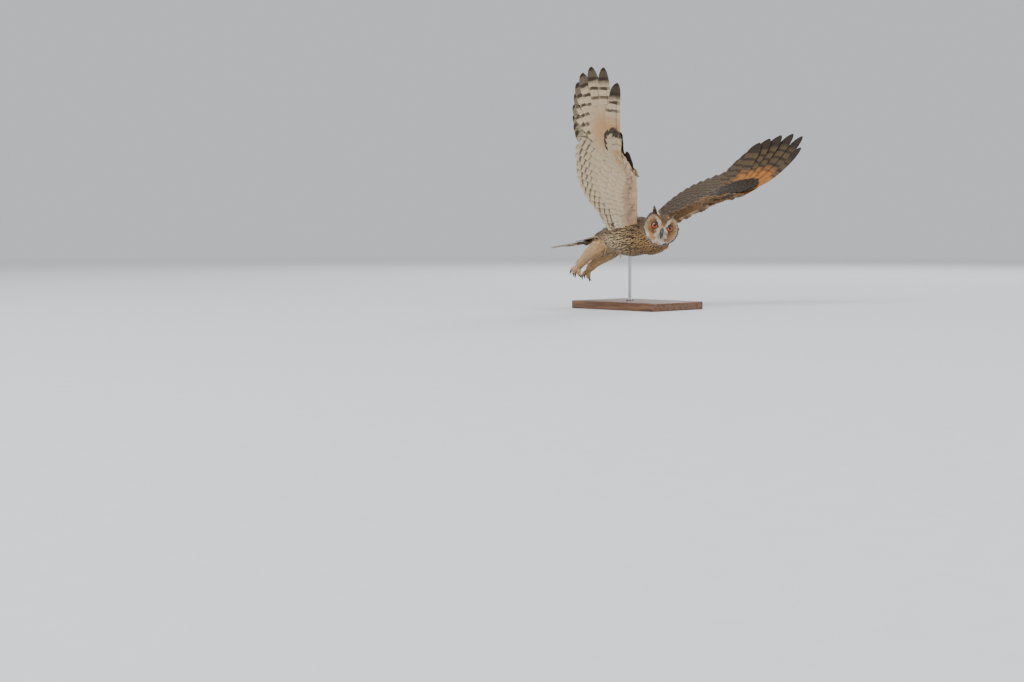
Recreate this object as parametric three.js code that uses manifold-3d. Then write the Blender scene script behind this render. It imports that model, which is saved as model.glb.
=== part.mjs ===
// A long eared owl in flight, life size, on a plain display stand.
// Millimetres, +Z up. The origin is the middle of the stand's underside, and the
// bird heads along +X with its left side towards +Y.
import * as THREE from 'three';
import { mergeVertices } from 'three/addons/utils/BufferGeometryUtils.js';
import Module from 'manifold-3d';

const wasm = await Module();
wasm.setup();

// Driving dimensions

const GAP = 0.3;                        // left between pieces that touch
const BODY_PITCH = 8;                   // degrees, bill end up
const BODY_ROLL = 13.1;                 // degrees, left side down
const BODY_AT = [-22, 0, 165];          // middle of the torso above the base

// Sections of the body along its axis: place, height of the middle, half width, half height
const BODY_SECTIONS = [
  [113, -15, 7, 7], [107, -15, 19, 19], [93, -13, 32, 31], [70, -8, 41, 41], [40, -1, 45.5, 45],
  [12, 0, 47, 46], [-18, 2, 45, 43], [-50, 6, 37, 34], [-72, 9, 29, 26], [-88, 11, 23, 18],
  [-104, 12, 17, 11], [-122, 12.5, 12, 6.5],
];
const NECK_FROM = 62;                   // the neck is the body forward of this
const TAIL_FROM = -88;                  // and the tail's root is the body behind this

const HEAD_AT = [92, 0, 9];             // on the body's axes
const HEAD_TURN = [-40.5, 3, -12.5];    // heading, nod and lean in the stand's frame
const HEAD_HALF = { front: 31, back: 32, side: 38, height: 34.5 };
const EYE_RADIUS = 10.5;
const EYE_AT = [19, 16, 4.5];
const EYE_TURN = 0.27;                  // radians outwards from straight ahead
const BILL_LENGTH = 23;
const TUFT_LENGTH = 40;
// Each lock of a tuft: its share of the length, its spread in degrees and its lift
const TUFT_LOCKS = [[1, 0, 0], [0.92, -9, 1.6], [0.9, 8, -1.6], [0.74, -17, 3.2], [0.7, 16, -3.2]];

const SHOULDER = [38, 33, 15];
const ARM_LENGTH = 150;                 // shoulder to wrist along the leading edge
const HAND_LENGTH = 62;                 // wrist to the root of the outermost primary
const PRIMARY_LENGTHS = [158, 165, 173, 183, 195, 209, 222, 230, 226, 190];
const PRIMARY_WIDTH = 31;
const SECONDARIES = 11;
const SECONDARY_WIDTH = 34;
const TERTIALS = 4;
const ALULA_LENGTHS = [58, 50, 40];

// How each wing is held. Sweep is forward and lift is up, both in degrees on the
// body's axes, roll turns the segment's trailing edge up, and the fans are the
// feathers' angles from straight back. The splay turns the outermost primaries
// forward at their bases and curves their tips back, and the patagium is how far
// the skin before the arm stands out.
const WINGS = {
  right: {
    side: -1, arm: { sweep: 41, lift: 34, roll: -3.8 }, hand: { sweep: 6.2, lift: 32.4, roll: 4.2 },
    primaryFan: [61, 121.4, 1.42], primaryBend: [0.164, 0.135], secondaryFan: [59.7, 12.6],
    secondaryLength: 135, tertialDrop: 57, splay: -3, patagium: 9,
  },
  left: {
    side: 1, arm: { sweep: 53.5, lift: 29.8, roll: 6.3 }, hand: { sweep: 46.5, lift: 18.2, roll: 24.2 },
    primaryFan: [84.8, 118.2, 2.08], primaryBend: [0.252, 0.255], secondaryFan: [84.8, 56.7],
    secondaryLength: 145, tertialDrop: 42, splay: 9, patagium: -3,
  },
};

const TAIL_LENGTH = 145;
const RECTRICES = 12;
const TAIL_YAW = -8;                    // tip towards the bird's right
const TAIL_DROP = 0.5;
const TAIL_TWIST = -17;                 // holds the fan level under the banked body
const TAIL_SPREAD = 13;

const HIP = [-60, 21, -8];
const ANKLE = [-112, 20, -31];
const FOOT = [-143, 18, -51];
const TOE_LENGTH = 23;
const CLAW_LENGTH = 13;

const BASE = { length: 250, width: 180, height: 18 };
const ROD_RADIUS = 3.5;

// Materials

const material = (colour, roughness, metalness = 0) => new THREE.MeshStandardMaterial({
  color: colour, roughness, metalness,
});
const PLUMAGE = material('#8a7152', 0.9);
const FLIGHT = material('#7d6547', 0.85);
const FACE = material('#b98550', 0.9);
const TUFT = material('#3a2c20', 0.9);
const LEG = material('#b99468', 0.9);
const EYE = material('#e0701c', 0.12);
const HORN = material('#25211f', 0.4);
const WOOD = material('#6b4a2f', 0.55);
const STEEL = material('#b4b6b8', 0.35, 1);

// Geometry helpers

const rad = THREE.MathUtils.degToRad;
const vec = (x, y, z) => new THREE.Vector3(x, y, z);
const lerp = THREE.MathUtils.lerp;
const along = (start, dir, amount) => start.clone().addScaledVector(dir, amount);

// A closed skin over rings of points, with a middle point at each end.
function loft(rings, mirrorFace = -1) {
  const count = rings[0].length;
  const points = rings.flat();
  const index = [];
  for (let k = 0; k + 1 < rings.length; k++) {
    for (let j = 0; j < count; j++) {
      const a = k * count + j;
      const b = k * count + (j + 1) % count;
      if (j === mirrorFace) index.push(a, b, b + count, a, b + count, a + count);
      else index.push(a, b, a + count, b, b + count, a + count);
    }
  }
  for (const [k, turn] of [[0, 1], [rings.length - 1, -1]]) {
    if (count === 4) {
      const [a, b, c, d] = [0, 1, 2, 3].map((j) => k * count + j);
      if (turn > 0) index.push(a, d, c, a, c, b);
      else index.push(a, b, c, a, c, d);
      continue;
    }
    const middle = points.length;
    points.push(rings[k].reduce((sum, p) => sum.add(p), vec(0, 0, 0)).divideScalar(count));
    for (let j = 0; j < count; j++) {
      const a = k * count + j;
      const b = k * count + (j + 1) % count;
      if (turn > 0) index.push(middle, b, a);
      else index.push(middle, a, b);
    }
  }
  const geometry = new THREE.BufferGeometry();
  geometry.setAttribute('position', new THREE.Float32BufferAttribute(points.flatMap((p) => p.toArray()), 3));
  geometry.setIndex(index);
  return geometry;
}

// The closed mesh as a solid, with its faces turned out.
function solid(geometry) {
  const bare = geometry.clone();
  bare.deleteAttribute('normal');
  bare.deleteAttribute('uv');
  const merged = mergeVertices(bare, 1e-4);
  const points = merged.attributes.position;
  const index = Array.from(merged.index.array);
  const [a, b, c] = [vec(0, 0, 0), vec(0, 0, 0), vec(0, 0, 0)];
  let volume = 0;
  for (let i = 0; i < index.length; i += 3) {
    a.fromBufferAttribute(points, index[i]);
    b.fromBufferAttribute(points, index[i + 1]);
    c.fromBufferAttribute(points, index[i + 2]);
    volume += a.dot(b.cross(c));
  }
  if (volume < 0) for (let i = 0; i < index.length; i += 3) [index[i], index[i + 1]] = [index[i + 1], index[i]];
  return new wasm.Manifold(new wasm.Mesh({
    numProp: 3, vertProperties: new Float32Array(points.array), triVerts: new Uint32Array(index),
  }));
}

const join = (solids) => wasm.Manifold.union(solids);

function largest(shape) {
  return shape.decompose().reduce((best, part) => (part.volume() > best.volume() ? part : best));
}

function node(name, shape, look) {
  const { vertProperties, triVerts } = largest(shape).getMesh();
  const geometry = new THREE.BufferGeometry();
  geometry.setAttribute('position', new THREE.Float32BufferAttribute(vertProperties, 3));
  geometry.setIndex(Array.from(triVerts));
  geometry.computeVertexNormals();
  const mesh = new THREE.Mesh(geometry, look);
  mesh.name = name;
  return mesh;
}

// Body

// Stations of the body between two places on its axis, grown outwards by grow.
function bodyRings(from, to, grow = 0, steps = 8, count = 18) {
  const middle = new THREE.CatmullRomCurve3(BODY_SECTIONS.map(([f, u]) => vec(f, 0, u)));
  const half = new THREE.CatmullRomCurve3(BODY_SECTIONS.map(([, , w, h]) => vec(w, h, 0)));
  const at = (f) => {
    let [low, high] = [0, 1];
    for (let n = 0; n < 30; n++) {
      const t = (low + high) / 2;
      if (middle.getPoint(t).x > f) low = t; else high = t;
    }
    return low;
  };
  const rings = [];
  for (let k = 0; k <= steps; k++) {
    const f = lerp(from, to, k / steps);
    const t = at(f);
    const centre = middle.getPoint(t);
    const size = half.getPoint(t);
    const end = k === 0 ? grow : k === steps ? -grow : 0;
    rings.push(Array.from({ length: count }, (_, j) => {
      const angle = 2 * Math.PI * j / count;
      return vec(f + end, (size.x + grow) * Math.cos(angle), centre.z + (size.y + grow) * Math.sin(angle));
    }));
  }
  return rings;
}

const bodyTube = (from, to, grow, steps) => solid(loft(bodyRings(from, to, grow, steps)));

// Head: x towards the face, y to its left, z up

// Distance from the head's middle to its skin in the given direction.
function headRadius(dir) {
  const deep = dir.x > 0 ? HEAD_HALF.front : HEAD_HALF.back;
  const base = 1 / Math.hypot(dir.x / deep, dir.y / HEAD_HALF.side, dir.z / HEAD_HALF.height);
  const yaw = Math.atan2(Math.abs(dir.y), dir.x);
  const rise = Math.asin(dir.z);
  const bump = (distance, width) => Math.exp(-((distance / width) ** 2));
  const fromFront = Math.acos(THREE.MathUtils.clamp(dir.x, -1, 1));
  const dish = bump(Math.hypot(yaw - 0.6, 0.8 * (rise - 0.06)), 0.34);
  const rim = bump(fromFront - 1.16, 0.17);
  const ridge = bump(dir.y, 0.13) * bump(rise - 0.2, 0.75) * (dir.x > 0 ? 1 : 0);
  return base - 5.5 * dish + 1.6 * rim + 3.4 * ridge;
}

function headGeometry(grow = 0, columns = 26, rows = 16) {
  const sphere = new THREE.SphereGeometry(1, columns, rows);
  const points = sphere.attributes.position;
  const dir = vec(0, 0, 0);
  for (let i = 0; i < points.count; i++) {
    dir.fromBufferAttribute(points, i);
    const turn = Math.atan2(dir.z, dir.x);
    const warped = turn - 0.42 * Math.sin(turn);        // closer columns on the face
    const flat = Math.hypot(dir.x, dir.z);
    dir.set(flat * Math.cos(warped), flat * Math.sin(warped), dir.y).normalize();
    dir.multiplyScalar(headRadius(dir) + grow);
    points.setXYZ(i, dir.x, dir.y, dir.z);
  }
  return sphere;
}

const eyeCentre = (side) => vec(EYE_AT[0], side * EYE_AT[1], EYE_AT[2]);
const eyeLook = (side) => vec(Math.cos(EYE_TURN), side * Math.sin(EYE_TURN), 0.03).normalize();

function eyeBall(side, grow = 0) {
  const ball = new THREE.SphereGeometry(EYE_RADIUS + grow, 12, 8);
  ball.translate(...eyeCentre(side).toArray());
  return solid(ball);
}

function lidRing(side) {
  const ring = new THREE.TorusGeometry(8.5, 1.5, 5, 14);
  ring.applyQuaternion(new THREE.Quaternion().setFromUnitVectors(vec(0, 0, 1), eyeLook(side)));
  ring.translate(...along(eyeCentre(side), eyeLook(side), 6.6).toArray());
  return solid(ring);
}

// Rings of a round horn or toe along a curve, from the first radius to the last.
function horn(curve, radii, steps, count = 8, flatten = 1) {
  const frames = curve.computeFrenetFrames(steps, false);
  return loft(Array.from({ length: steps + 1 }, (_, k) => {
    const at = curve.getPoint(k / steps);
    const spot = (radii.length - 1) * k / steps;
    const low = Math.min(Math.floor(spot), radii.length - 2);
    const radius = lerp(radii[low], radii[low + 1], spot - low);
    return Array.from({ length: count }, (_, j) => {
      const angle = 2 * Math.PI * j / count;
      return at.clone().addScaledVector(frames.normals[k], radius * Math.cos(angle))
        .addScaledVector(frames.binormals[k], radius * flatten * Math.sin(angle));
    });
  }));
}

function bill() {
  const start = 24;
  const path = new THREE.CubicBezierCurve3(
    vec(start, 0, -1), vec(start + 14, 0, -3), vec(start + 16, 0, -13), vec(start + 9, 0, -1 - BILL_LENGTH));
  const upper = solid(horn(path, [7.5, 6.4, 4.8, 3, 0.5], 8, 8, 0.8));
  const mouth = new THREE.BoxGeometry(9, 30, 0.7);
  mouth.rotateY(rad(58));
  mouth.translate(start + 6.5, 0, -16);
  const nostrils = [-1, 1].map((side) => {
    const pit = new THREE.SphereGeometry(1.1, 6, 4);
    pit.translate(start + 8, side * 4.9, -3);
    return solid(pit);
  });
  return upper.subtract(join([solid(mouth), ...nostrils]));
}

// Feathers

// Half width along a feather as a share of its half breadth.
const REMEX = [[0, 0.12], [0.25, 0.45], [0.55, 0.95], [0.85, 0.88], [1, 0.14]];
const COVERT = [[0, 0.35], [0.3, 0.85], [0.75, 1], [1, 0.3]];
const LOCK = [[0, 0.5], [0.35, 1], [0.75, 0.7], [1, 0.15]];

// One vane: a thin curved plate from its root, bent towards normal as it goes out
// and turned by tilt about its shaft. Its raise is its height over the root, there
// and beyond, and both faces are split along the same diagonals.
function vane({ root, dir, normal, length, width, bend = 0, bow = 0, tilt = 0, raise = [0, 0], thick = 0.6,
  outline = REMEX }) {
  const across = normal.clone().cross(dir).normalize();
  const edge = across.clone().applyAxisAngle(dir, tilt);
  const face = normal.clone().applyAxisAngle(dir, tilt);
  return solid(loft(outline.map(([t, share]) => {
    const height = length * bend * t * t + lerp(raise[0], raise[1], Math.min(1, t / 0.3));
    const at = along(root, dir, length * t).addScaledVector(normal, height).addScaledVector(across, length * bow * t * t);
    const half = share * width / 2;
    const up = along(face, dir, -2 * bend * t).normalize().multiplyScalar(thick * (1 - 0.2 * t) / 2);
    return [[-1, -1], [1, -1], [1, 1], [-1, 1]].map(([x, y]) => along(at, edge, x * half).addScaledVector(up, y));
  }), 2));
}

// Wings

// Axes of an arm or hand: out along it, back across the wing, and up through it.
function segment({ sweep, lift, roll }, side) {
  const out = vec(Math.cos(rad(lift)) * Math.sin(rad(sweep)), side * Math.cos(rad(lift)) * Math.cos(rad(sweep)),
    Math.sin(rad(lift)));
  const back = along(vec(-1, 0, 0), out, out.x).normalize();
  const up = out.clone().cross(back).multiplyScalar(side);
  return {
    out,
    back: back.clone().multiplyScalar(Math.cos(rad(roll))).addScaledVector(up, Math.sin(rad(roll))),
    up: up.clone().multiplyScalar(Math.cos(rad(roll))).addScaledVector(back, -Math.sin(rad(roll))),
  };
}

const mix = (a, b, share) => a.clone().lerp(b, share).normalize();

// The feathered arm and hand: a teardrop section, deepest near its leading edge.
function wingCore(wing) {
  const teardrop = [[0, 0], [0.12, 0.75], [0.35, 1], [0.68, 0.62], [1, 0.1], [0.68, -0.62], [0.35, -1], [0.12, -0.75]];
  const { shoulder, wrist, arm, hand } = wing;
  const joint = { back: mix(arm.back, hand.back, 0.5), up: mix(arm.up, hand.up, 0.5) };
  const stations = [
    [along(shoulder, arm.out, -16), arm, 44, 11, 0.8], [along(shoulder, arm.out, 26), arm, 46, 9.5, 1],
    [along(shoulder, arm.out, 0.5 * ARM_LENGTH), arm, 42, 8, 0.9],
    [along(shoulder, arm.out, 0.8 * ARM_LENGTH), arm, 33, 7.5, 0.55], [wrist, joint, 26, 7, 0],
    [along(wrist, hand.out, 0.4 * HAND_LENGTH), hand, 21, 5.6, 0],
    [along(wrist, hand.out, 0.8 * HAND_LENGTH), hand, 15, 4.2, 0],
    [along(wrist, hand.out, HAND_LENGTH + 8), hand, 7, 2.2, 0],
  ];
  return solid(loft(stations.map(([at, { back, up }, chord, thick, share]) => {
    const front = share * wing.patagium;
    return teardrop.map(([x, y]) => along(at, back, x * (chord + front) - 3 - front).addScaledVector(up, y * thick));
  })));
}

// Roots, directions and bends of the flight feathers, from the innermost secondary
// to the outermost primary.
function flightFeathers(wing) {
  const { side, shoulder, wrist, arm, hand } = wing;
  const aim = (normal, fan) => {
    const straight = along(vec(-1, 0, 0), normal, normal.x).normalize();
    const outward = straight.clone().cross(normal);
    if (outward.y * side < 0) outward.negate();
    return straight.multiplyScalar(Math.cos(rad(fan))).addScaledVector(outward, Math.sin(rad(fan))).normalize();
  };
  const feathers = [];
  for (let k = TERTIALS; k >= 1; k--) {
    const t = k / TERTIALS;
    feathers.push({
      root: wing.wrist.clone().lerp(shoulder, 0.75 + 0.24 * t).addScaledVector(arm.back, 22 + 4 * t),
      normal: arm.up, dir: aim(arm.up, lerp(wing.secondaryFan[1], -6, t)), bend: -0.02,
      length: (wing.secondaryLength - wing.tertialDrop) * (0.95 - 0.3 * t), width: SECONDARY_WIDTH, hand: false,
    });
  }
  for (let j = SECONDARIES; j >= 1; j--) {
    const t = (j - 1) / (SECONDARIES - 1);
    const root = wrist.clone().lerp(shoulder, 0.03 + 0.72 * t)
      .addScaledVector(arm.back, 4 + 24 * Math.sin(Math.PI * Math.min(1, 0.9 * t)));
    const normal = mix(arm.up, hand.up, Math.max(0, 0.5 - j / 12));
    feathers.push({
      root, normal, dir: aim(normal, lerp(...wing.secondaryFan, t)), bend: -0.01,
      length: wing.secondaryLength - wing.tertialDrop * t ** 1.5 + 13 * (1 - THREE.MathUtils.smoothstep(t, 0, 0.35)),
      width: SECONDARY_WIDTH, hand: false,
    });
  }
  const [inner, outer, spreadPower] = wing.primaryFan;
  const [middleBend, tipBend] = wing.primaryBend;
  PRIMARY_LENGTHS.forEach((length, i) => {
    const t = i / 9;
    const number = i + 1;
    const normal = mix(arm.up, hand.up, Math.min(1, 0.55 + number * 0.1125));
    const splay = wing.splay * Math.max(0, number - 7) / 3;
    feathers.push({
      root: along(wrist, hand.out, 4 + 58 * t).addScaledVector(hand.back, 4), normal,
      dir: aim(normal, lerp(inner, outer, t ** spreadPower) + splay), bow: side * Math.sin(rad(splay)),
      length, width: PRIMARY_WIDTH - 6 * t, hand: true,
      bend: number > 5 ? lerp(middleBend, tipBend, ((number - 5) / 5) ** 1.3) : lerp(-0.01, middleBend, number / 5),
    });
  });
  return feathers;
}

// Rows of coverts over and under the flight feathers: the share of the feathers'
// length, their height over the wing's plane, their width, how far their roots lie
// towards the leading edge, and whether each feather or each second one has one.
const COVERT_ROWS = [
  { share: 0.42, raise: [1.4, 4], width: 26, forward: 2, every: 2 },
  { share: 0.27, raise: [2, 6.8], width: 30, forward: 9, every: 3 },
  { share: 0.38, raise: [-1.4, -3.8], width: 34, forward: 2, every: 3 },
];
const VANE_TILT = 8.5;                    // degrees, leading edge up, so that vanes lie clear

function wingSolid(pose) {
  const arm = segment(pose.arm, pose.side);
  const hand = segment(pose.hand, pose.side);
  const shoulder = vec(SHOULDER[0], pose.side * SHOULDER[1], SHOULDER[2]);
  const wing = { ...pose, arm, hand, shoulder, wrist: along(shoulder, arm.out, ARM_LENGTH) };
  const tilt = -pose.side * rad(VANE_TILT);
  const feathers = flightFeathers(wing);
  const vanes = feathers.map((feather) => vane({ ...feather, tilt }));
  for (const { share, raise, width, forward, every } of COVERT_ROWS) {
    for (let i = 0; i < feathers.length; i += every) {
      const { root, dir, length, bend, hand: onHand, ...rest } = feathers[i];
      const back = onHand ? hand.back : arm.back;
      const size = share * (onHand ? 0.85 : 1);
      vanes.push(vane({
        ...rest, dir, root: along(root, back, onHand ? 0.2 * forward : -forward), length: length * size,
        width: width * (onHand ? 0.8 : 1), bend: bend * size, raise, tilt, outline: COVERT,
      }));
    }
  }
  for (const [k, length] of ALULA_LENGTHS.entries()) {
    const dir = along(hand.out, hand.back, 0.1 * k - 0.2).normalize();
    vanes.push(vane({
      root: along(wing.wrist, hand.out, 4 + 3 * k).addScaledVector(hand.back, 1 + 2 * k), dir, length,
      normal: along(hand.up, dir, -hand.up.dot(dir)).normalize(), width: 11, bend: 0.05,
      raise: [3 - k, 7 - 1.3 * k], tilt, outline: COVERT,
    }));
  }
  return join([wingCore(wing), ...vanes]);
}

// Tail

function tailAxes() {
  const out = vec(-Math.cos(rad(TAIL_DROP)) * Math.cos(rad(TAIL_YAW)), Math.cos(rad(TAIL_DROP)) * Math.sin(rad(TAIL_YAW)),
    -Math.sin(rad(TAIL_DROP)));
  const flat = vec(0, 0, 1);
  const up = along(flat, out, -flat.dot(out)).normalize().applyAxisAngle(out, rad(TAIL_TWIST));
  return { out, up, across: up.clone().cross(out).normalize() };
}

// Rectrices under one another from the middle pair out, with coverts above and below.
function tailSolid() {
  const { out, up, across } = tailAxes();
  const root = along(vec(TAIL_FROM - 2, 0, 11), out, 3);
  const rows = [
    { count: RECTRICES, length: TAIL_LENGTH - 10, width: 25, raise: [0, 0], step: 0.95, spread: TAIL_SPREAD, outline: REMEX },
    { count: 5, length: 50, width: 22, raise: [2, 4], step: 0.95, spread: 20, outline: COVERT },
    { count: 4, length: 66, width: 24, raise: [-4, -7.4], step: -0.95, spread: 15, outline: COVERT },
  ];
  const vanes = rows.flatMap(({ count, length, raise, step, spread, ...rest }) => Array.from({ length: count }, (_, i) => {
    const place = 2 * i / (count - 1) - 1;
    const drop = step * Math.abs(i - (count - 1) / 2);
    const dir = along(out, across, Math.tan(rad(spread)) * place).normalize();
    return vane({
      root: along(root, across, 7 * place), dir, normal: up, length: length * (1 - 0.05 * place * place),
      bend: -0.02, raise: [raise[0] - 0.6 * drop, raise[1] - drop - (place < 0 ? 0 : 0.5 * Math.sign(step))], ...rest,
    });
  }));
  return join([solid(loft(bodyRings(TAIL_FROM - GAP, -121, 0, 4, 16))), ...vanes]);
}

// Legs and feet

const mirrored = ([x, y, z], side) => vec(x, side * y, z);

function legCurve(side) {
  return new THREE.CatmullRomCurve3([mirrored(HIP, side), mirrored(ANKLE, side), mirrored(FOOT, side)]);
}

const legSolid = (side, grow = 0) => {
  const curve = legCurve(side);
  const short = new THREE.CatmullRomCurve3(Array.from({ length: 9 }, (_, k) => curve.getPoint(0.94 * k / 8 + grow * 0.001)));
  return solid(horn(short, [20, 19, 15, 11.5, 10].map((radius) => radius + grow), 8, 12));
};

// Two toes forward and two back, half closed: spread to the side and drop in degrees
const TOES = [['inner', -16, 18], ['middle', 14, 4], ['outer', 38, 34], ['hind', -30, 66]];

function toeFrame(side, [, spread, drop]) {
  const heel = mirrored(FOOT, side);
  const dir = vec(-1, 0, 0).applyAxisAngle(vec(0, 1, 0), -rad(8 + drop))
    .applyAxisAngle(vec(0, 0, 1), -side * rad(spread));
  const down = along(vec(0.3, 0, -1), dir, -vec(0.3, 0, -1).dot(dir)).normalize();
  return { heel, dir, down };
}

function toePath(side, toe) {
  const { heel, dir, down } = toeFrame(side, toe);
  const end = along(heel, dir, TOE_LENGTH).addScaledVector(down, 7);
  return new THREE.QuadraticBezierCurve3(heel, along(heel, dir, TOE_LENGTH * 0.6), end);
}

function footSolid(side) {
  const pad = new THREE.SphereGeometry(8.5, 8, 6);
  pad.translate(...mirrored(FOOT, side).toArray());
  return join([solid(pad), ...TOES.map((toe) => solid(horn(toePath(side, toe), [5.2, 4.6, 3.6], 3, 6)))]);
}

function clawSolid(side, toe) {
  const path = toePath(side, toe);
  const start = path.getPoint(1);
  const aim = path.getTangent(1);
  const { down, dir } = toeFrame(side, toe);
  const curl = along(down.clone().multiplyScalar(0.9), dir, -0.5);
  start.addScaledVector(aim, GAP);
  const curve = new THREE.QuadraticBezierCurve3(start, along(start, aim, CLAW_LENGTH * 0.55),
    along(start, aim, CLAW_LENGTH * 0.75).addScaledVector(curl, CLAW_LENGTH * 0.45));
  return solid(horn(curve, [2.6, 1.9, 0.3], 4, 6));
}

// Assembly

const group = new THREE.Group();
const stand = new THREE.Group();
const bird = new THREE.Group();
bird.position.set(...BODY_AT);
bird.rotation.set(-rad(BODY_ROLL), -rad(BODY_PITCH), 0, 'YXZ');
bird.updateMatrixWorld(true);
group.add(stand, bird);

const head = new THREE.Group();
head.position.set(...HEAD_AT);
const facing = new THREE.Quaternion().setFromEuler(
  new THREE.Euler(rad(HEAD_TURN[2]), rad(HEAD_TURN[1]), rad(HEAD_TURN[0]), 'ZYX'));
head.quaternion.copy(bird.quaternion.clone().invert().multiply(facing));
head.updateMatrix();
bird.add(head);

const headOnBody = (grow) => solid(headGeometry(grow).applyMatrix4(head.matrix));
const headGrown = headOnBody(GAP);

// Body
const wholeGrown = bodyTube(106, -121, GAP, 22);
const torso = bodyTube(NECK_FROM, TAIL_FROM, 0, 14).subtract(headGrown);
const neck = bodyTube(106, NECK_FROM + GAP, 0, 6).subtract(headGrown);
bird.add(node('torso', torso, PLUMAGE), node('neck', neck, PLUMAGE), node('tail', tailSolid(), FLIGHT));

// Head
const headShape = join([solid(headGeometry()), lidRing(-1), lidRing(1)])
  .subtract(join([eyeBall(-1, GAP), eyeBall(1, GAP)]));
head.add(node('head', headShape, FACE));
head.add(node('eye_right', eyeBall(-1), EYE), node('eye_left', eyeBall(1), EYE));
head.add(node('bill', bill().subtract(solid(headGeometry(GAP))), HORN));

// An ear tuft: locks in a fan from a small root on the brow.
function tuftSolid(side, rise, lean) {
  const spot = vec(0.22, side * 0.5, 0.8).normalize();
  const root = spot.clone().multiplyScalar(headRadius(spot) + 0.5);
  const knob = new THREE.SphereGeometry(4.6, 6, 4);
  knob.translate(...root.toArray());
  const back = vec(-Math.cos(rad(rise)), side * Math.sin(rad(lean)), Math.sin(rad(rise))).normalize();
  const across = vec(0, 1, 0).cross(back).cross(back).normalize();
  const locks = TUFT_LOCKS.map(([share, spread, lift]) => {
    const dir = along(back, across, -side * Math.sin(rad(spread))).normalize();
    const normal = along(vec(1, 0, 0), dir, -dir.x).normalize();
    return vane({
      root: root.clone(), dir, normal, length: TUFT_LENGTH * share, width: 7, bend: -0.06,
      raise: [lift * 0.5, lift], thick: 1, outline: LOCK,
    });
  });
  return join([solid(knob), ...locks]).subtract(solid(headGeometry(GAP)));
}
head.add(node('ear_tuft_right', tuftSolid(-1, 44, 12), TUFT), node('ear_tuft_left', tuftSolid(1, 16, 20), TUFT));

// Wings
for (const [name, pose] of Object.entries(WINGS)) {
  const shape = wingSolid(pose).subtract(join([wholeGrown, headGrown]));
  bird.add(node(`wing_${name}`, shape, FLIGHT));
}

// Legs, feet and claws
for (const [name, side] of [['right', -1], ['left', 1]]) {
  bird.add(node(`leg_${name}`, legSolid(side).subtract(wholeGrown), LEG));
  bird.add(node(`foot_${name}`, footSolid(side).subtract(join([legSolid(side, GAP), wholeGrown])), LEG));
  for (const toe of TOES) bird.add(node(`claw_${name}_${toe[0]}`, clawSolid(side, toe), HORN));
}

// Stand
const base = new THREE.Mesh(new THREE.BoxGeometry(BASE.length, BASE.width, BASE.height), WOOD);
base.name = 'stand_base';
base.position.set(0, 0, BASE.height / 2);
stand.add(base);

const rodLength = BODY_AT[2] - BASE.height - GAP;
const rodGeometry = new THREE.CylinderGeometry(ROD_RADIUS, ROD_RADIUS, rodLength, 16);
rodGeometry.rotateX(Math.PI / 2);
rodGeometry.translate(BODY_AT[0], BODY_AT[1], BASE.height + GAP + rodLength / 2);
const torsoStanding = solid(loft(bodyRings(NECK_FROM, TAIL_FROM, GAP, 14)).applyMatrix4(bird.matrix));
stand.add(node('stand_rod', solid(rodGeometry).subtract(torsoStanding), STEEL));

group.updateMatrixWorld(true);
export default group;
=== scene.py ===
"""A long eared owl in banked flight on a display stand: skin, plumage, head, feet, stand and stage."""

import math
from itertools import product

import bpy
import numpy as np
from mathutils import Matrix, Vector
from mathutils.bvhtree import BVHTree


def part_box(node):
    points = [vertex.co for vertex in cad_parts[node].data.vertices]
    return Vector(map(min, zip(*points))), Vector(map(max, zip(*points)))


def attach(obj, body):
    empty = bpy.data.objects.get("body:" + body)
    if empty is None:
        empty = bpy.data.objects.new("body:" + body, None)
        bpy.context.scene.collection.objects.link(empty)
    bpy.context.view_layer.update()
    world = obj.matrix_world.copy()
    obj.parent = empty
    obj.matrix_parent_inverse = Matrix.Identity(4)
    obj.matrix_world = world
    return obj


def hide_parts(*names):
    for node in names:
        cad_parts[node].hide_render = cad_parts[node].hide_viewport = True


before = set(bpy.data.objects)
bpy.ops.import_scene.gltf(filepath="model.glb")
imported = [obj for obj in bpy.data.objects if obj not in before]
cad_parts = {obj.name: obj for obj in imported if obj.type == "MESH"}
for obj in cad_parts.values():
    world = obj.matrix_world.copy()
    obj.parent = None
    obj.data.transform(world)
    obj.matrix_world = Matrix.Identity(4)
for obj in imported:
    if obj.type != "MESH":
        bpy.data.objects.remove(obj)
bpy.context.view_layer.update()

bl_info = {
    "name": "Long Eared Owl",
    "version": (1, 0, 0),
    "blender": (4, 5, 0),
    "location": "View3D > Sidebar > Owl",
    "description": "Dresses a life-size flying owl, feather by feather, on its stand",
    "category": "Object",
}

MM = 0.001
SEED = 41

# How the bird is held, in the frame's own axes. Places on the body, head and wings are on the body's axes:
# forward, left and up
BODY_AT = np.array([-22, 0, 165]) * MM
BODY_PITCH = math.radians(8)
BODY_ROLL = math.radians(13.1)
# Place along the body, height of the middle, half width and half height
BODY_SECTIONS = np.array([
    [113, -15, 7, 7], [107, -15, 19, 19], [93, -13, 32, 31], [70, -8, 41, 41], [40, -1, 45.5, 45],
    [12, 0, 47, 46], [-18, 2, 45, 43], [-50, 6, 37, 34], [-72, 9, 29, 26], [-88, 11, 23, 18],
    [-104, 12, 17, 11], [-122, 12.5, 12, 6.5],
]) * MM
RUMP_FROM, RUMP_TO, RUMP_RINGS, RUMP_SIDES = -84 * MM, -121 * MM, 6, 16
THIGHS_AT, THIGHS_HALF = np.array([-83, 0, -14]) * MM, np.array([31, 21, 17]) * MM
SIDES = {"right": -1, "left": 1}

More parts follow.
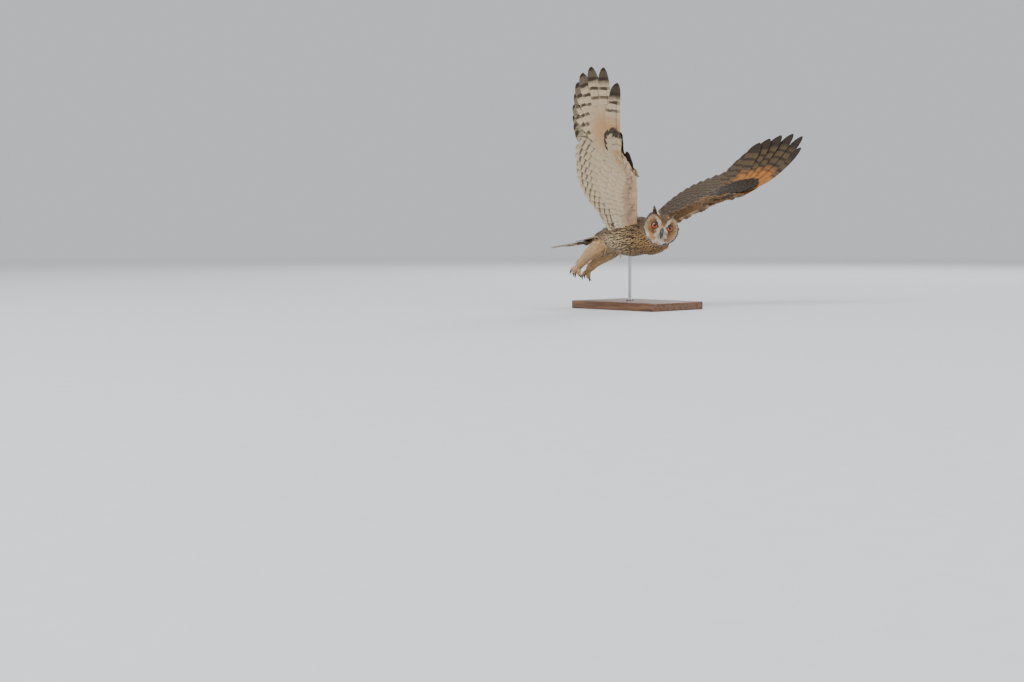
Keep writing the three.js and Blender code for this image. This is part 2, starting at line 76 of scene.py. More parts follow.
HEAD_AT = np.array([92, 0, 9]) * MM
HEAD_TURN = (-40.5, 3.0, -12.5)                  # heading, nod and lean in degrees
HEAD_REACH = 40.5 * MM                           # what lies nearer than this to its middle is head
CROWN_FROM, CROWN_SHARE = 8 * MM, 0.82           # the crown is flattened above this height
EYE_RADIUS = 10.5 * MM
EYE_AT = np.array([19, 16, 4.5]) * MM            # on the head's axes
EYE_TOE_OUT = 0.27
EYE_BACK = 1.5 * MM                              # how far the ball sits behind the solid one
SOCKET_RADII, SOCKET_FORWARD = (10.2 * MM, 3.2 * MM), 2.8 * MM
LID_RADII, LID_FORWARD = (8.15 * MM, 0.8 * MM), 6.5 * MM
LID_THICK, LID_HEIGHT, LID_SLOPE = 0.4 * MM, 3.4 * MM, 0.42
BILL_LENGTH = 23 * MM
BILL_KNOTS = np.array([[22, 0, -1], [38, 0, -3], [40, 0, -13], [33, 0, -1 - BILL_LENGTH / MM]]) * MM
BILL_RADII = np.array([7.4, 6.5, 5.6, 4.8, 3.9, 2.7, 0.35]) * MM
BILL_STEPS, BILL_SIDES, BILL_FLATTEN = 22, 24, 0.78
TUFT_LENGTH = 40 * MM
TUFTS = {"right": (44, 12), "left": (16, 20)}    # rise and outward lean in degrees
TUFT_VANES = 84
FACE_WIDE, FACE_HIGH = 34.5 * MM, 32.5 * MM      # half width and half height of both discs together
BROW_FOOT, BROW_RISE = -5, 27                    # millimetres above the head's middle
# Rows of the rim: place as a share of the face, length in millimetres, how pale, and lift in millimetres
RIM_ROWS = ((0.88, 7.0, 0.9, 1.5), (0.915, 7.5, 1.0, 1.9), (0.95, 8.0, 0.12, 2.2), (0.985, 8.5, 0.3, 1.8))

SHOULDER = np.array([38, 33, 15]) * MM           # of the left wing; the right one's is its mirror image
ARM_LENGTH = 150 * MM
HAND_LENGTH = 62 * MM
PRIMARY_LENGTHS = np.array([158, 165, 173, 183, 195, 209, 222, 230, 226, 190]) * MM
PRIMARY_WIDTH = 38 * MM
SECONDARIES = 11
SECONDARY_WIDTH = 34 * MM
TERTIALS = 4
VANE_TILT = math.radians(6)
VANE_CREASE = 50                                 # degrees between faces that are shaded apart
BIG_VANE_THICK, SMALL_VANE_THICK, VANE_CAMBER = 0.45 * MM, 0.4 * MM, 0.05
ALULA_LENGTHS = (58, 50, 40)
# Rows of coverts, three above and three beneath: share of the flight feather's length, lifts of root and tip in
# millimetres, share of its width, how far forward they are rooted, and how strongly they are barred
COVERT_ROWS = ((0.42, (1.4, 3.4), 0.74, 2, 0.0), (0.28, (2, 5.2), 0.72, 8, 0.1),
               (0.19, (2.5, 6.4), 0.68, 14, 0.2),
               (0.52, (-1.4, -3.0), 0.76, 2, -1.6), (0.38, (-2, -4.6), 0.74, 8, -1.7),
               (0.26, (-2.4, -5.8), 0.7, 13, -1.8))
ROWS_ABOVE = 3
NO_DARK_TIP = -10.0                              # a dark length too short to show
# How each wing is held: sweep, lift and roll of its parts, then the fans of its feathers, in degrees
WINGS = {
    "right": dict(side=-1, arm=(41, 34, -3.8), hand=(6.2, 32.4, 4.2), primary_fan=(61, 121.4, 1.42),
                  primary_bend=(0.164, 0.135), secondary_fan=(59.7, 12.6),
                  secondary_length=135 * MM, tertial_drop=57 * MM, splay=-3, patagium=9),
    "left": dict(side=1, arm=(53.5, 29.8, 6.3), hand=(46.5, 18.2, 24.2), primary_fan=(84.8, 118.2, 2.08),
                 primary_bend=(0.252, 0.255), secondary_fan=(84.8, 56.7),
                 secondary_length=145 * MM, tertial_drop=42 * MM, splay=9, patagium=-3),
}

TAIL_FROM = -88 * MM
TAIL_LENGTH = 145 * MM
TAIL_YAW, TAIL_DROP, TAIL_TWIST, TAIL_SPREAD = (math.radians(a) for a in (-8, 0.5, -17, 13))
RECTRICES = 12
# Rows of the tail: feathers, length, width, lifts, step between neighbours, spread, stations and bars
TAIL_ROWS = ((RECTRICES, TAIL_LENGTH - 10 * MM, 26, (0, 0), 0.6, TAIL_SPREAD, 18, 0.15),
             (9, 66 * MM, 20, (2.5, 4.5), 0.5, math.radians(17), 8, 0.1),
             (8, 42 * MM, 20, (3.5, 6), 0.5, math.radians(20), 8, 0.1),
             (8, 66 * MM, 19, (-2.5, -5.5), -0.5, math.radians(15), 8, -1.6),
             (6, 44 * MM, 20, (-4, -7.5), -0.5, math.radians(20), 8, -1.6))

HIP = np.array([-60, 21, -8]) * MM
ANKLE = np.array([-112, 20, -31]) * MM
FOOT = np.array([-143, 18, -51]) * MM

# The skin and its coat: what it grows from, how far it lies within the plumage in millimetres, and the small
# feathers' width as a share of their length with their lift in millimetres
FLESH = ("torso", "neck", "head", "leg_left", "leg_right", "foot_left", "foot_right")
SKIN_VOXEL, SKIN_SMOOTHING = 1.7 * MM, 9
SKIN_DEPTHS = {"head": 2.2, "leg": 1.8, "toe": 0.6, "wing": 1.4}
COAT_SHAPES = {"body": (0.58, 1.6), "head": (0.42, 1.2), "leg": (0.24, 2.4), "toe": (0.34, 0.7),
               "wing": (0.66, 0.45)}
COAT_SPACING = {"head": 2.15 * MM, "leg": 2.5 * MM, "toe": 1.7 * MM}
FACE_ANGLE = 1.1                                 # radians from straight ahead that the discs cover
THROAT_SPACING, ARM_SPACING = 3.3 * MM, 3.3 * MM
ARM_COAT_BACK = 17 * MM                          # the arm's coat ends this far behind the leading edge

ROD_RADIUS, COLLAR_RADIUS, COLLAR_HEIGHT = 3.5 * MM, 8.5 * MM, 5 * MM
STAND_CREASE = 30

# The camera: the photograph's angle and framing
CAMERA_AZIMUTH = math.radians(41.5)
CAMERA_DISTANCE = 3.352
CAMERA_LENS, CAMERA_SENSOR = 50.0, 36.0
PHOTO_WIDTH, PHOTO_HEIGHT = 1024, 682
BODY_PIXEL = (630.1, 237.8)
BACKDROP = (0.78, 0.80, 0.84)
BACKDROP_LIGHT = 0.8
FLOOR_RADIUS, FLOOR_DROP = 30, 0.4 * MM
FLOOR_FADE = (2.5, 11.0)                         # metres out, where the floor turns into the backdrop
# Lights: name, metres to the right, away and up, size and power
LIGHTS = (("key", -2.6, -4.2, 4.0, 3.2, 330), ("fill", 4.4, -3.0, 2.0, 3.6, 130),
          ("rim", 1.4, 4.2, 3.6, 2.6, 170))


# Vectors and frames

def unit(v):
    v = np.asarray(v, float)
    return v / np.maximum(np.linalg.norm(v, axis=-1, keepdims=True), 1e-12)


def about(axis, angle):
    """The matrix that turns by angle about axis."""
    return np.array(Matrix.Rotation(angle, 3, Vector(axis)))


def body_axes():
    forward = np.array([math.cos(BODY_PITCH), 0, math.sin(BODY_PITCH)])
    level = np.array([0.0, 1.0, 0.0])
    rise = np.cross(forward, level)
    left = level * math.cos(BODY_ROLL) - rise * math.sin(BODY_ROLL)
    return np.stack([forward, left, np.cross(forward, left)], 1)


BODY = body_axes()


def from_body(points):
    return BODY_AT + np.asarray(points) @ BODY.T


def to_body(points):
    return (np.asarray(points) - BODY_AT) @ BODY


HEAD_ORIGIN = from_body(HEAD_AT)
HEAD = about((0, 0, 1), math.radians(HEAD_TURN[0])) @ about((0, 1, 0), math.radians(HEAD_TURN[1])) \
    @ about((1, 0, 0), math.radians(HEAD_TURN[2]))


def from_head(points):
    return HEAD_ORIGIN + np.asarray(points) @ HEAD.T


def to_head(points):
    return (np.asarray(points) - HEAD_ORIGIN) @ HEAD


def smooth(value, low, high):
    t = np.clip((np.asarray(value, float) - low) / (high - low), 0, 1)
    return t * t * (3 - 2 * t)


def body_section(f):
    """Height of the middle, half width and half height of the body at a place on its axis."""
    order = np.argsort(BODY_SECTIONS[:, 0])
    return [np.interp(f, BODY_SECTIONS[order, 0], BODY_SECTIONS[order, k]) for k in (1, 2, 3)]


def linear(colour):
    """The linear value of a colour written as six hexadecimal digits."""
    parts = np.array([int(colour[i:i + 2], 16) / 255 for i in (1, 3, 5)])
    return np.where(parts < 0.04045, parts / 12.92, ((parts + 0.055) / 1.055) ** 2.4)


# Wing frames and the flight feathers' places

def segment(pose, side):
    """Unit vectors of an arm or hand in the body's frame: out, back and up."""
    sweep, lift, roll = (math.radians(a) for a in pose)
    out = np.array([math.cos(lift) * math.sin(sweep), side * math.cos(lift) * math.cos(sweep), math.sin(lift)])
    back = unit(np.array([-1.0, 0, 0]) + out * out[0])
    up = np.cross(out, back) * side
    return dict(out=out, back=back * math.cos(roll) + up * math.sin(roll),
                up=up * math.cos(roll) - back * math.sin(roll))


def wing_frame(name):
    pose = WINGS[name]
    arm, hand = segment(pose["arm"], pose["side"]), segment(pose["hand"], pose["side"])
    shoulder = SHOULDER * [1, pose["side"], 1]
    return dict(pose, arm=arm, hand=hand, shoulder=shoulder, wrist=shoulder + arm["out"] * ARM_LENGTH)


def mixed(a, b, share):
    return unit(a * (1 - share) + b * share)


def flight_feathers(wing):
    """The flight feathers from the innermost tertial to the outermost primary."""
    side, shoulder, wrist, arm, hand = (wing[k] for k in ("side", "shoulder", "wrist", "arm", "hand"))

    def aim(normal, fan):
        straight = unit(np.array([-1.0, 0, 0]) + normal * normal[0])
        outward = np.cross(straight, normal)
        if outward[1] * side < 0:
            outward = -outward
        return unit(straight * math.cos(math.radians(fan)) + outward * math.sin(math.radians(fan)))

    first, last = wing["secondary_fan"]
    inner_length = wing["secondary_length"] - wing["tertial_drop"]
    feathers = []
    for k in range(TERTIALS, 0, -1):
        t = k / TERTIALS
        feathers.append(dict(
            kind="tertial", number=k,
            root=wrist + (shoulder - wrist) * (0.75 + 0.24 * t) + arm["back"] * (22 + 4 * t) * MM,
            normal=arm["up"], dir=aim(arm["up"], last + (-6 - last) * t), bend=-0.02,
            length=inner_length * (0.95 - 0.3 * t), width=SECONDARY_WIDTH))
    for j in range(SECONDARIES, 0, -1):
        t = (j - 1) / (SECONDARIES - 1)
        normal = mixed(arm["up"], hand["up"], max(0, 0.5 - j / 12))
        feathers.append(dict(
            kind="secondary", number=j, root=wrist + (shoulder - wrist) * (0.03 + 0.72 * t)
            + arm["back"] * (4 + 24 * math.sin(math.pi * min(1, 0.9 * t))) * MM,
            normal=normal, dir=aim(normal, first + (last - first) * t), bend=-0.01,
            length=wing["secondary_length"] - wing["tertial_drop"] * t ** 1.5
            + 13 * MM * (1 - float(smooth(t, 0.0, 0.35))), width=SECONDARY_WIDTH))
    inner, outer, power = wing["primary_fan"]
    middle_bend, tip_bend = wing["primary_bend"]
    for i, length in enumerate(PRIMARY_LENGTHS):
        t, number = i / 9, i + 1
        normal = mixed(arm["up"], hand["up"], min(1, 0.55 + number * 0.1125))
        bend = (middle_bend + (tip_bend - middle_bend) * ((number - 5) / 5) ** 1.3 if number > 5
                else -0.01 + (middle_bend + 0.01) * number / 5)
        splay = wing["splay"] * max(0, number - 7) / 3
        feathers.append(dict(
            kind="primary", number=number, root=wrist + hand["out"] * (4 + 58 * t) * MM + hand["back"] * 4 * MM,
            normal=normal, dir=aim(normal, inner + (outer - inner) * t ** power + splay), bend=bend,
            length=length, bow=math.sin(math.radians(splay)), width=PRIMARY_WIDTH - 3 * MM * t))
    return feathers


# Meshes

def deselect():
    for thing in bpy.context.selected_objects:
        thing.select_set(False)


def choose(thing):
    deselect()
    thing.select_set(True)
    bpy.context.view_layer.objects.active = thing
    return thing


def apply_modifier(thing, kind, **settings):
    choose(thing)
    modifier = thing.modifiers.new(kind.title(), kind)
    for key, value in settings.items():
        setattr(modifier, key, value)
    bpy.ops.object.modifier_apply(modifier=modifier.name)


def settle(thing):
    """Moves the object's place into its mesh."""
    choose(thing)
    bpy.ops.object.transform_apply(location=True, rotation=True, scale=True)
    return thing


def primitive(kind, name, **settings):
    """One of Blender's own shapes, at the origin with its place in its mesh."""
    deselect()
    getattr(bpy.ops.mesh, "primitive_" + kind + "_add")(**settings)
    thing = settle(bpy.context.active_object)
    thing.name = thing.data.name = name
    return thing


def edit_all(thing, operator, **settings):
    """Runs one mesh operator on the whole of a piece."""
    choose(thing)
    bpy.ops.object.mode_set(mode="EDIT")
    bpy.ops.mesh.select_all(action="SELECT")
    operator(**settings)
    bpy.ops.object.mode_set(mode="OBJECT")


def weld(thing):
    edit_all(thing, bpy.ops.mesh.remove_doubles, threshold=0.01 * MM)


def faces_out(thing):
    edit_all(thing, bpy.ops.mesh.normals_make_consistent, inside=False)


def joined(parts):
    """One piece from several, under the first one's name."""
    deselect()
    for part in parts:
        part.select_set(True)
    bpy.context.view_layer.objects.active = parts[0]
    bpy.ops.object.join()
    return parts[0]


def copied(node, name):
    """A copy of a solid, with a mesh of its own."""
    thing = bpy.data.objects.new(name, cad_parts[node].data.copy())
    bpy.context.scene.collection.objects.link(thing)
    weld(thing)
    return thing


def points_and_normals(mesh):
    points, normals = np.empty((2, len(mesh.vertices) * 3))
    mesh.vertices.foreach_get("co", points)
    mesh.vertex_normals.foreach_get("vector", normals)
    return points.reshape(-1, 3), normals.reshape(-1, 3)


def make_mesh(name, points, faces):
    mesh = bpy.data.meshes.new(name)
    mesh.from_pydata(np.asarray(points).tolist(), [], [list(map(int, f)) for f in faces])
    mesh.update()
    thing = bpy.data.objects.new(name, mesh)
    bpy.context.scene.collection.objects.link(thing)
    return thing


def fast_mesh(name, points, quads):
    """A mesh of four-cornered faces from arrays."""
    mesh = bpy.data.meshes.new(name)
    quads = np.asarray(quads, np.int32)
    mesh.vertices.add(len(points))
    mesh.vertices.foreach_set("co", np.asarray(points, np.float32).ravel())
    mesh.loops.add(quads.size)
    mesh.loops.foreach_set("vertex_index", quads.ravel())
    mesh.polygons.add(len(quads))
    mesh.polygons.foreach_set("loop_start", np.arange(0, quads.size, 4, dtype=np.int32))
    mesh.polygons.foreach_set("loop_total", np.full(len(quads), 4, np.int32))
    mesh.update(calc_edges=True)
    mesh.validate()
    thing = bpy.data.objects.new(name, mesh)
    bpy.context.scene.collection.objects.link(thing)
    return thing


def shade(thing):
    thing.data.polygons.foreach_set("use_smooth", np.ones(len(thing.data.polygons), bool))


def shade_by_angle(thing, degrees):
    """Smooth faces that meet in a crisp edge where they turn by more than the angle."""
    choose(thing)
    bpy.ops.object.shade_smooth_by_angle(angle=math.radians(degrees))


def set_values(thing, name, values):
    attribute = thing.data.attributes.new(name, "FLOAT", "POINT")
    attribute.data.foreach_set("value", np.asarray(values, np.float32).ravel())


def set_colours(thing, name, colours):
    attribute = thing.data.attributes.new(name, "FLOAT_COLOR", "POINT")
    full = np.concatenate([colours, np.ones((len(colours), 1))], 1)
    attribute.data.foreach_set("color", full.astype(np.float32).ravel())


def set_bake_map(thing, points_uv):
    """Writes the OFBake map from one place for each vertex."""
    layer = thing.data.uv_layers.new(name="OFBake")
    corners = np.empty(len(thing.data.loops), np.int32)
    thing.data.loops.foreach_get("vertex_index", corners)
    layer.data.foreach_set("uv", np.asarray(points_uv, np.float32)[corners].ravel())


def loft_faces(rings, count):
    """Faces of a closed skin over rings of points, with a flat end at each side."""
    faces = []
    for k in range(rings - 1):
        for j in range(count):
            a, b = k * count + j, k * count + (j + 1) % count
            faces.append([a, b, b + count, a + count])
    faces.append(list(range(count))[::-1])
    faces.append([(rings - 1) * count + j for j in range(count)])
    return faces


def horn_rings(curve, radii, steps, count, flatten):
    """Rings of a tapering horn along a function of 0 to 1, and their middles."""
    points = np.array([curve(k / steps) for k in range(steps + 1)])
    tangents = unit(np.gradient(points, axis=0))
    angle = 2 * math.pi * np.arange(count)[:, None] / count
    rings = []
    for k, (point, tangent) in enumerate(zip(points, tangents)):
        side = unit(np.array([0, 1.0, 0]) - tangent * tangent[1])
        other = np.cross(tangent, side)
        radius = np.interp(k / steps, np.linspace(0, 1, len(radii)), radii)
        rings.append(point + radius * (np.cos(angle) * side * flatten + np.sin(angle) * other))
    return np.concatenate(rings), np.repeat(points, count, 0)


# Shader maths

class Value:
    """A number socket that adds Math nodes as it is worked with."""

    def __init__(self, finish, socket):
        self.finish, self.socket = finish, socket

    def math(self, operation, *inputs):
        return Value(self.finish, self.finish.add("ShaderNodeMath", {"operation": operation},
                                                   dict(enumerate(inputs))).outputs[0])

    def __add__(self, other):
        return self.math("ADD", self, other)

    def __sub__(self, other):
        return self.math("SUBTRACT", self, other)

    def __rsub__(self, other):
        return self.math("SUBTRACT", other, self)

    def __mul__(self, other):
        return self.math("MULTIPLY", self, other)

    def __truediv__(self, other):
        return self.math("DIVIDE", self, other)

    def __rtruediv__(self, other):
        return self.math("DIVIDE", other, self)

    __radd__, __rmul__ = __add__, __mul__

    def abs(self):
        return self.math("ABSOLUTE", self)

    def sine(self):
        return self.math("SINE", self)

    def step(self, low, high):
        """Rises smoothly from 0 at low to 1 at high."""
        return Value(self.finish, self.finish.add("ShaderNodeMapRange", {"interpolation_type": "SMOOTHSTEP"}, {
            "Value": self, "From Min": low, "From Max": high}).outputs["Result"])


class Finish:
    """One material and the nodes that it is made of."""

    def __init__(self, name):
        self.material = bpy.data.materials.new(name)
        self.material.use_nodes = True
        self.tree = self.material.node_tree
        self.tree.nodes.clear()
        self.shader = self.add("ShaderNodeBsdfPrincipled")
        output = self.add("ShaderNodeOutputMaterial")
        self.tree.links.new(self.shader.outputs[0], output.inputs[0])
        self.place = self.add("ShaderNodeTexCoord").outputs["Object"]

    def feed(self, socket, item):
        if isinstance(item, Value):
            item = item.socket
        if isinstance(item, bpy.types.NodeSocket):
            self.tree.links.new(item, socket)
        elif np.ndim(item) == 1 and len(item) == 3 and socket.type == "RGBA":
            socket.default_value = (*item, 1.0)
        else:
            socket.default_value = item

    def add(self, kind, settings=None, feeds=None):
        node = self.tree.nodes.new(kind)
        for key, value in (settings or {}).items():
            setattr(node, key, value)
        for key, item in (feeds or {}).items():
            self.feed(node.inputs[key], item)
        return node

    def value(self, name):
        return Value(self, self.add("ShaderNodeAttribute", {"attribute_name": name}).outputs["Fac"])

    def colour(self, name):
        return self.add("ShaderNodeAttribute", {"attribute_name": name}).outputs["Color"]

    def noise(self, scale, detail=2.0, place=None):
        return Value(self, self.add("ShaderNodeTexNoise", {}, {
            "Vector": place or self.place, "Scale": scale, "Detail": detail}).outputs["Fac"])

    def mix(self, factor, first, second):
        node = self.add("ShaderNodeMix", {"data_type": "RGBA"})
        for place, item in ((0, factor), (6, first), (7, second)):
            self.feed(node.inputs[place], item)
        return node.outputs[2]

    def bump(self, height, strength, distance):
        return self.add("ShaderNodeBump", {}, {
            "Height": height, "Strength": strength, "Distance": distance}).outputs[0]

    def done(self, colour, roughness, normal=None, **fixed):
        self.feed(self.shader.inputs["Base Color"], colour)
        self.feed(self.shader.inputs["Roughness"], roughness)
        if normal is not None:
            self.feed(self.shader.inputs["Normal"], normal)
        for key, item in fixed.items():
            self.feed(self.shader.inputs[key.replace("_", " ")], item)
        return self.material


# Adjustable sizes and colours

def colour_property(name, description, value):
    return bpy.props.FloatVectorProperty(name=name, description=description, subtype="COLOR", size=3,
                                         min=0, max=1, default=tuple(float(c) for c in linear(value)))


def length_property(name, description, value):
    return bpy.props.FloatProperty(name=name, description=description, subtype="DISTANCE", unit="LENGTH",
                                   default=value, min=0.0)


class OwlSizes(bpy.types.PropertyGroup):
    """Sizes of the coat's feathers."""
    body_feather: length_property("Body feather", "Length of a feather on the flank", 0.0165)
    back_feather: length_property("Back feather", "Length of a feather on the back", 0.022)
    head_feather: length_property("Head feather", "Length of a feather on the crown", 0.0105)
    leg_feather: length_property("Leg feather", "Length of a feather on the leg", 0.0135)
    wing_feather: length_property("Wing covert", "Length of a small feather on the arm", 0.016)
    body_spacing: length_property("Body spacing", "Distance between roots on the body", 0.0033)
    coat_depth: length_property("Coat depth", "How far the skin lies under the plumage's surface", 0.0028)


class OwlColours(bpy.types.PropertyGroup):
    """Colours of the plumage and the bare parts."""
    breast: colour_property("Breast", "Ground colour of the breast", "#a58152")
    belly: colour_property("Belly", "Ground colour of the belly", "#cfb78f")
    back: colour_property("Back", "Ground colour of the back", "#7a6044")
    streak: colour_property("Streak", "Dark shaft streaks", "#2a1e15")
    leg: colour_property("Leg", "Feathered legs", "#c9a677")
    crown: colour_property("Crown", "Top of the head", "#7d613f")
    nape: colour_property("Nape", "Back of the head", "#8d7049")
    disc: colour_property("Facial disc", "Discs round the eyes", "#b07a44")
    brow: colour_property("Brow", "Pale feathers between the eyes", "#dcd2bf")
    rim_pale: colour_property("Pale rim", "Pale edge of the discs", "#ead9b9")
    rim_dark: colour_property("Dark rim", "Dark edge of the discs", "#2b2018")
    tuft: colour_property("Ear tuft", "Middle of the ear tufts", "#2c2118")
    vent: colour_property("Vent", "Under the tail", "#e0cfac")
    under_wing: colour_property("Under wing", "Ground colour of the wing's underside", "#cdb995")
    upper_wing: colour_property("Upper wing", "Ground colour of the wing's upper side", "#5b4a34")
    patch: colour_property("Primary patch", "Warm patch at the primaries' bases", "#ab6d31")
    bar: colour_property("Bar", "Dark bars and tips", "#33281e")
    iris: colour_property("Iris", "Colour of the eye", "#bd480a")


def sizes():
    return bpy.context.scene.owl_sizes


def tone(name):
    return np.array(getattr(bpy.context.scene.owl_colours, name))


# Finishes

def flight_finish(name):
    """Barred flight feathers, darker above and pale beneath, with a warm patch on the primaries."""
    f = Finish(name)
    along, across, tip = f.value("Along"), f.value("Across"), f.value("Tip")
    under, primary, rank, rand = f.value("Under"), f.value("Primary"), f.value("Rank"), f.value("Rand")
    dark_length = f.value("Dark")
    blotch = f.noise(95, 3)
    fine = f.noise(900, 2)
    wobble = (blotch - 0.5) * 7.0 + across.abs() * 1.6 + rand * 3.0
    # Bars in millimetres from the tip
    spacing = 13.0 + primary * 9.0
    wave = ((tip + wobble) / spacing * (2 * math.pi)).sine()
    bars = (wave + f.value("BarShare")).step(0.2, 0.7)
    end_band = 1.0 - (tip - primary * rank * 26.0 + (blotch - 0.5) * 10.0).step(2.0, 22.0)
    end_band = end_band * f.value("BarShare").step(-1.4, -0.8)
    covert_band = 1.0 - (tip - dark_length + (blotch - 0.5) * 6.0).step(-3.0, 3.0)
    # Above: dark grey-brown with darker bars and a warm patch on the outer primaries
    patch = primary * (1.0 - (along + (blotch - 0.5) * 0.16).step(0.46, 0.62)) * rank.step(0.1, 0.55)
    ground = f.mix(fine.step(0.35, 0.65) * 0.35, tone("upper_wing"), tone("bar") * 1.5)
    ground = f.mix(patch * (1.0 - across.step(0.5, 1.0) * 0.4), ground, tone("patch"))
    pale_web = (1.0 - across.step(-0.8, -0.2)) * (1.0 - primary) * 0.3
    ground = f.mix(pale_web, ground, tone("under_wing"))
    above = f.mix(bars * (0.9 - patch * 0.75), ground, tone("bar"))
    above = f.mix(end_band * (0.35 + primary * 0.55), above, tone("bar") * 0.75)
    above = f.mix(covert_band * (0.62 + bars * 0.3), above, tone("bar") * 0.75)
    fringe = (1.0 - tip.step(0.4, 2.2)) * (1.0 - primary * 0.8)
    above = f.mix(fringe * 0.45, above, tone("under_wing"))
    # Beneath: buff, with rows of brown spots that fade away from the trailing edge, and dark tips
    warm = primary * (1.0 - along.step(0.4, 0.66)) * rank.step(0.15, 0.6) * 0.5
    mottled = f.mix((fine - 0.3) * 0.25 + (blotch - 0.5) * 0.5, tone("under_wing"), tone("belly") * 0.7)
    below = f.mix(warm, mottled, tone("patch") * 1.25)
    fading = 1.0 - (tip + (blotch - 0.5) * 14.0).step(26.0 + primary * 34.0, 62.0 + primary * 38.0)
    spot = 1.0 - (across + 0.3).abs().step(0.35, 0.8)
    below = f.mix(bars * fading * (0.35 + spot * 0.4 + primary * 0.2), below, tone("bar") * 1.5)
    below = f.mix(end_band * primary * (0.45 + rank * 0.5), below, tone("bar"))
    below = f.mix(covert_band * 0.92, below, tone("bar") * 0.7)
    below = f.mix((1.0 - tip.step(1.0, 5.0)) * (1.0 - primary) * 0.7, below, tone("brow"))
    colour = f.mix(under, above, below)
    shaft = 1.0 - across.abs().step(0.02, 0.09)
    colour = f.mix(shaft * 0.4, colour, tone("streak") * 2.2)
    colour = f.mix(fine * 0.22, colour, linear("#000000"))
    barbs = ((tip + across.abs() * 9.0) * 9.0).sine()
    return f.done(colour, 0.62 + fine * 0.2, f.bump(barbs, 0.25, 0.0002), Specular_IOR_Level=0.3)


def coat_finish(name):
    """Body feathers: each has its own tint, a dark shaft streak, cross bars and a pale fringe."""
    f = Finish(name)
    along, across, mark, rand = f.value("Along"), f.value("Across"), f.value("Mark"), f.value("Rand")
    tint = f.colour("Tint")
    fine = f.noise(1400, 2)
    blotch = f.noise(240, 2)
    reach = along.step(0.25, 0.5)
    streak = 1.0 - (across.abs() + (blotch - 0.5) * 0.35).step(0.13, 0.42)
    bars = ((along * 15.0 + across.abs() * 1.4 + rand * 6.0).sine() + (blotch - 0.5) * 1.2).step(0.45, 0.9)
    dark = (streak * 1.15 + bars * 0.34 * (1.0 - across.abs() * 0.3)) * reach * mark
    shaded = f.mix(dark, tint, tone("streak"))
    fringe = along.step(0.86, 1.0) * 0.35 * (1.0 - mark * 0.4)
    shaded = f.mix(fringe, shaded, tone("vent"))
    shaded = f.mix((rand - 0.3) * 0.3, shaded, tone("streak"))
    shaded = f.mix(fine * 0.3, shaded, linear("#0c0805"))
    barbs = ((along * 46.0 + across.abs() * 12.0)).sine()
    return f.done(shaded, 0.78 + fine * 0.15, f.bump(barbs + fine * 2.0, 0.35, 0.0002),
                  Specular_IOR_Level=0.2, Sheen_Weight=0.15, Sheen_Roughness=0.5)


def skin_finish():
    """The plumage's own colours under the feathers, mottled with the same dark marks."""
    f = Finish("owl_skin")
    blotch = f.noise(170, 4)
    fine = f.noise(1100, 3)
    dark = (blotch + (fine - 0.5) * 0.35).step(0.5, 0.68) * f.value("Mark")
    colour = f.mix(dark * 0.75, f.colour("Tint"), tone("streak"))
    colour = f.mix(fine * 0.45, colour, linear("#0c0805"))
    return f.done(colour, 0.9, f.bump(fine, 0.5, 0.0006), Specular_IOR_Level=0.15)


def horn_finish(name, colour, tip):
    """Dark horn that pales or deepens along its length, with fine growth lines."""
    f = Finish(name)
    along = f.value("Along")
    lines = f.noise(600, 3)
    mixed_colour = f.mix((along + (lines - 0.5) * 0.3).step(0.1, 0.9), linear(colour), linear(tip))
    return f.done(mixed_colour, 0.28 + lines * 0.2, f.bump(lines, 0.15, 0.0002), Specular_IOR_Level=0.55)


def eye_finish():
    """Orange iris with a dark ring, fine spokes and a black pupil, under a wet cornea."""
    f = Finish("owl_eye")
    angle, turn = f.value("Iris"), f.value("Turn")
    spokes = f.noise(1600, 2)
    iris = f.mix(angle.step(0.38, 0.68), tone("iris"), tone("iris") * 0.5)
    iris = f.mix((spokes + (turn * 60.0).sine() * 0.12).step(0.42, 0.62) * 0.45, iris, linear("#d97a0c"))
    edge = angle.step(0.66, 0.74)
    colour = f.mix(edge, iris, linear("#1a0d06"))
    pupil = 1.0 - angle.step(0.35, 0.375)
    colour = f.mix(pupil, colour, linear("#020202"))
    return f.done(colour, 0.3, Specular_IOR_Level=0.1, Coat_Weight=0.8, Coat_Roughness=0.02)


def lid_finish():
    f = Finish("owl_lid")
    grain = f.noise(1500, 3)
    return f.done(f.mix(grain, linear("#16100c"), linear("#3a2a1e")), 0.6, f.bump(grain, 0.4, 0.0003))


def wood_finish():
    """Stained wood with long grain along the base."""
    f = Finish("stand_wood")
    stretched = f.add("ShaderNodeMapping", {}, {"Vector": f.place, "Scale": (1.6, 22.0, 22.0)}).outputs[0]
    rings = f.noise(9, 5, stretched)
    pores = f.noise(60, 3, stretched)
    colour = f.mix(rings.step(0.32, 0.7), linear("#4a2f1b"), linear("#7c5433"))
    colour = f.mix(pores.step(0.55, 0.75) * 0.5, colour, linear("#2c1a0e"))
    return f.done(colour, 0.38 + pores * 0.2, f.bump(pores, 0.2, 0.0003), Coat_Weight=0.25, Coat_Roughness=0.25)


def steel_finish():
    f = Finish("stand_steel")
    stretched = f.add("ShaderNodeMapping", {}, {"Vector": f.place, "Scale": (1.0, 1.0, 0.04)}).outputs[0]
    lines = f.noise(2600, 2, stretched)
    return f.done(f.mix(lines, linear("#a4a6a8"), linear("#c9cbcc")), 0.26 + lines * 0.14, Metallic=1.0)


# Vanes

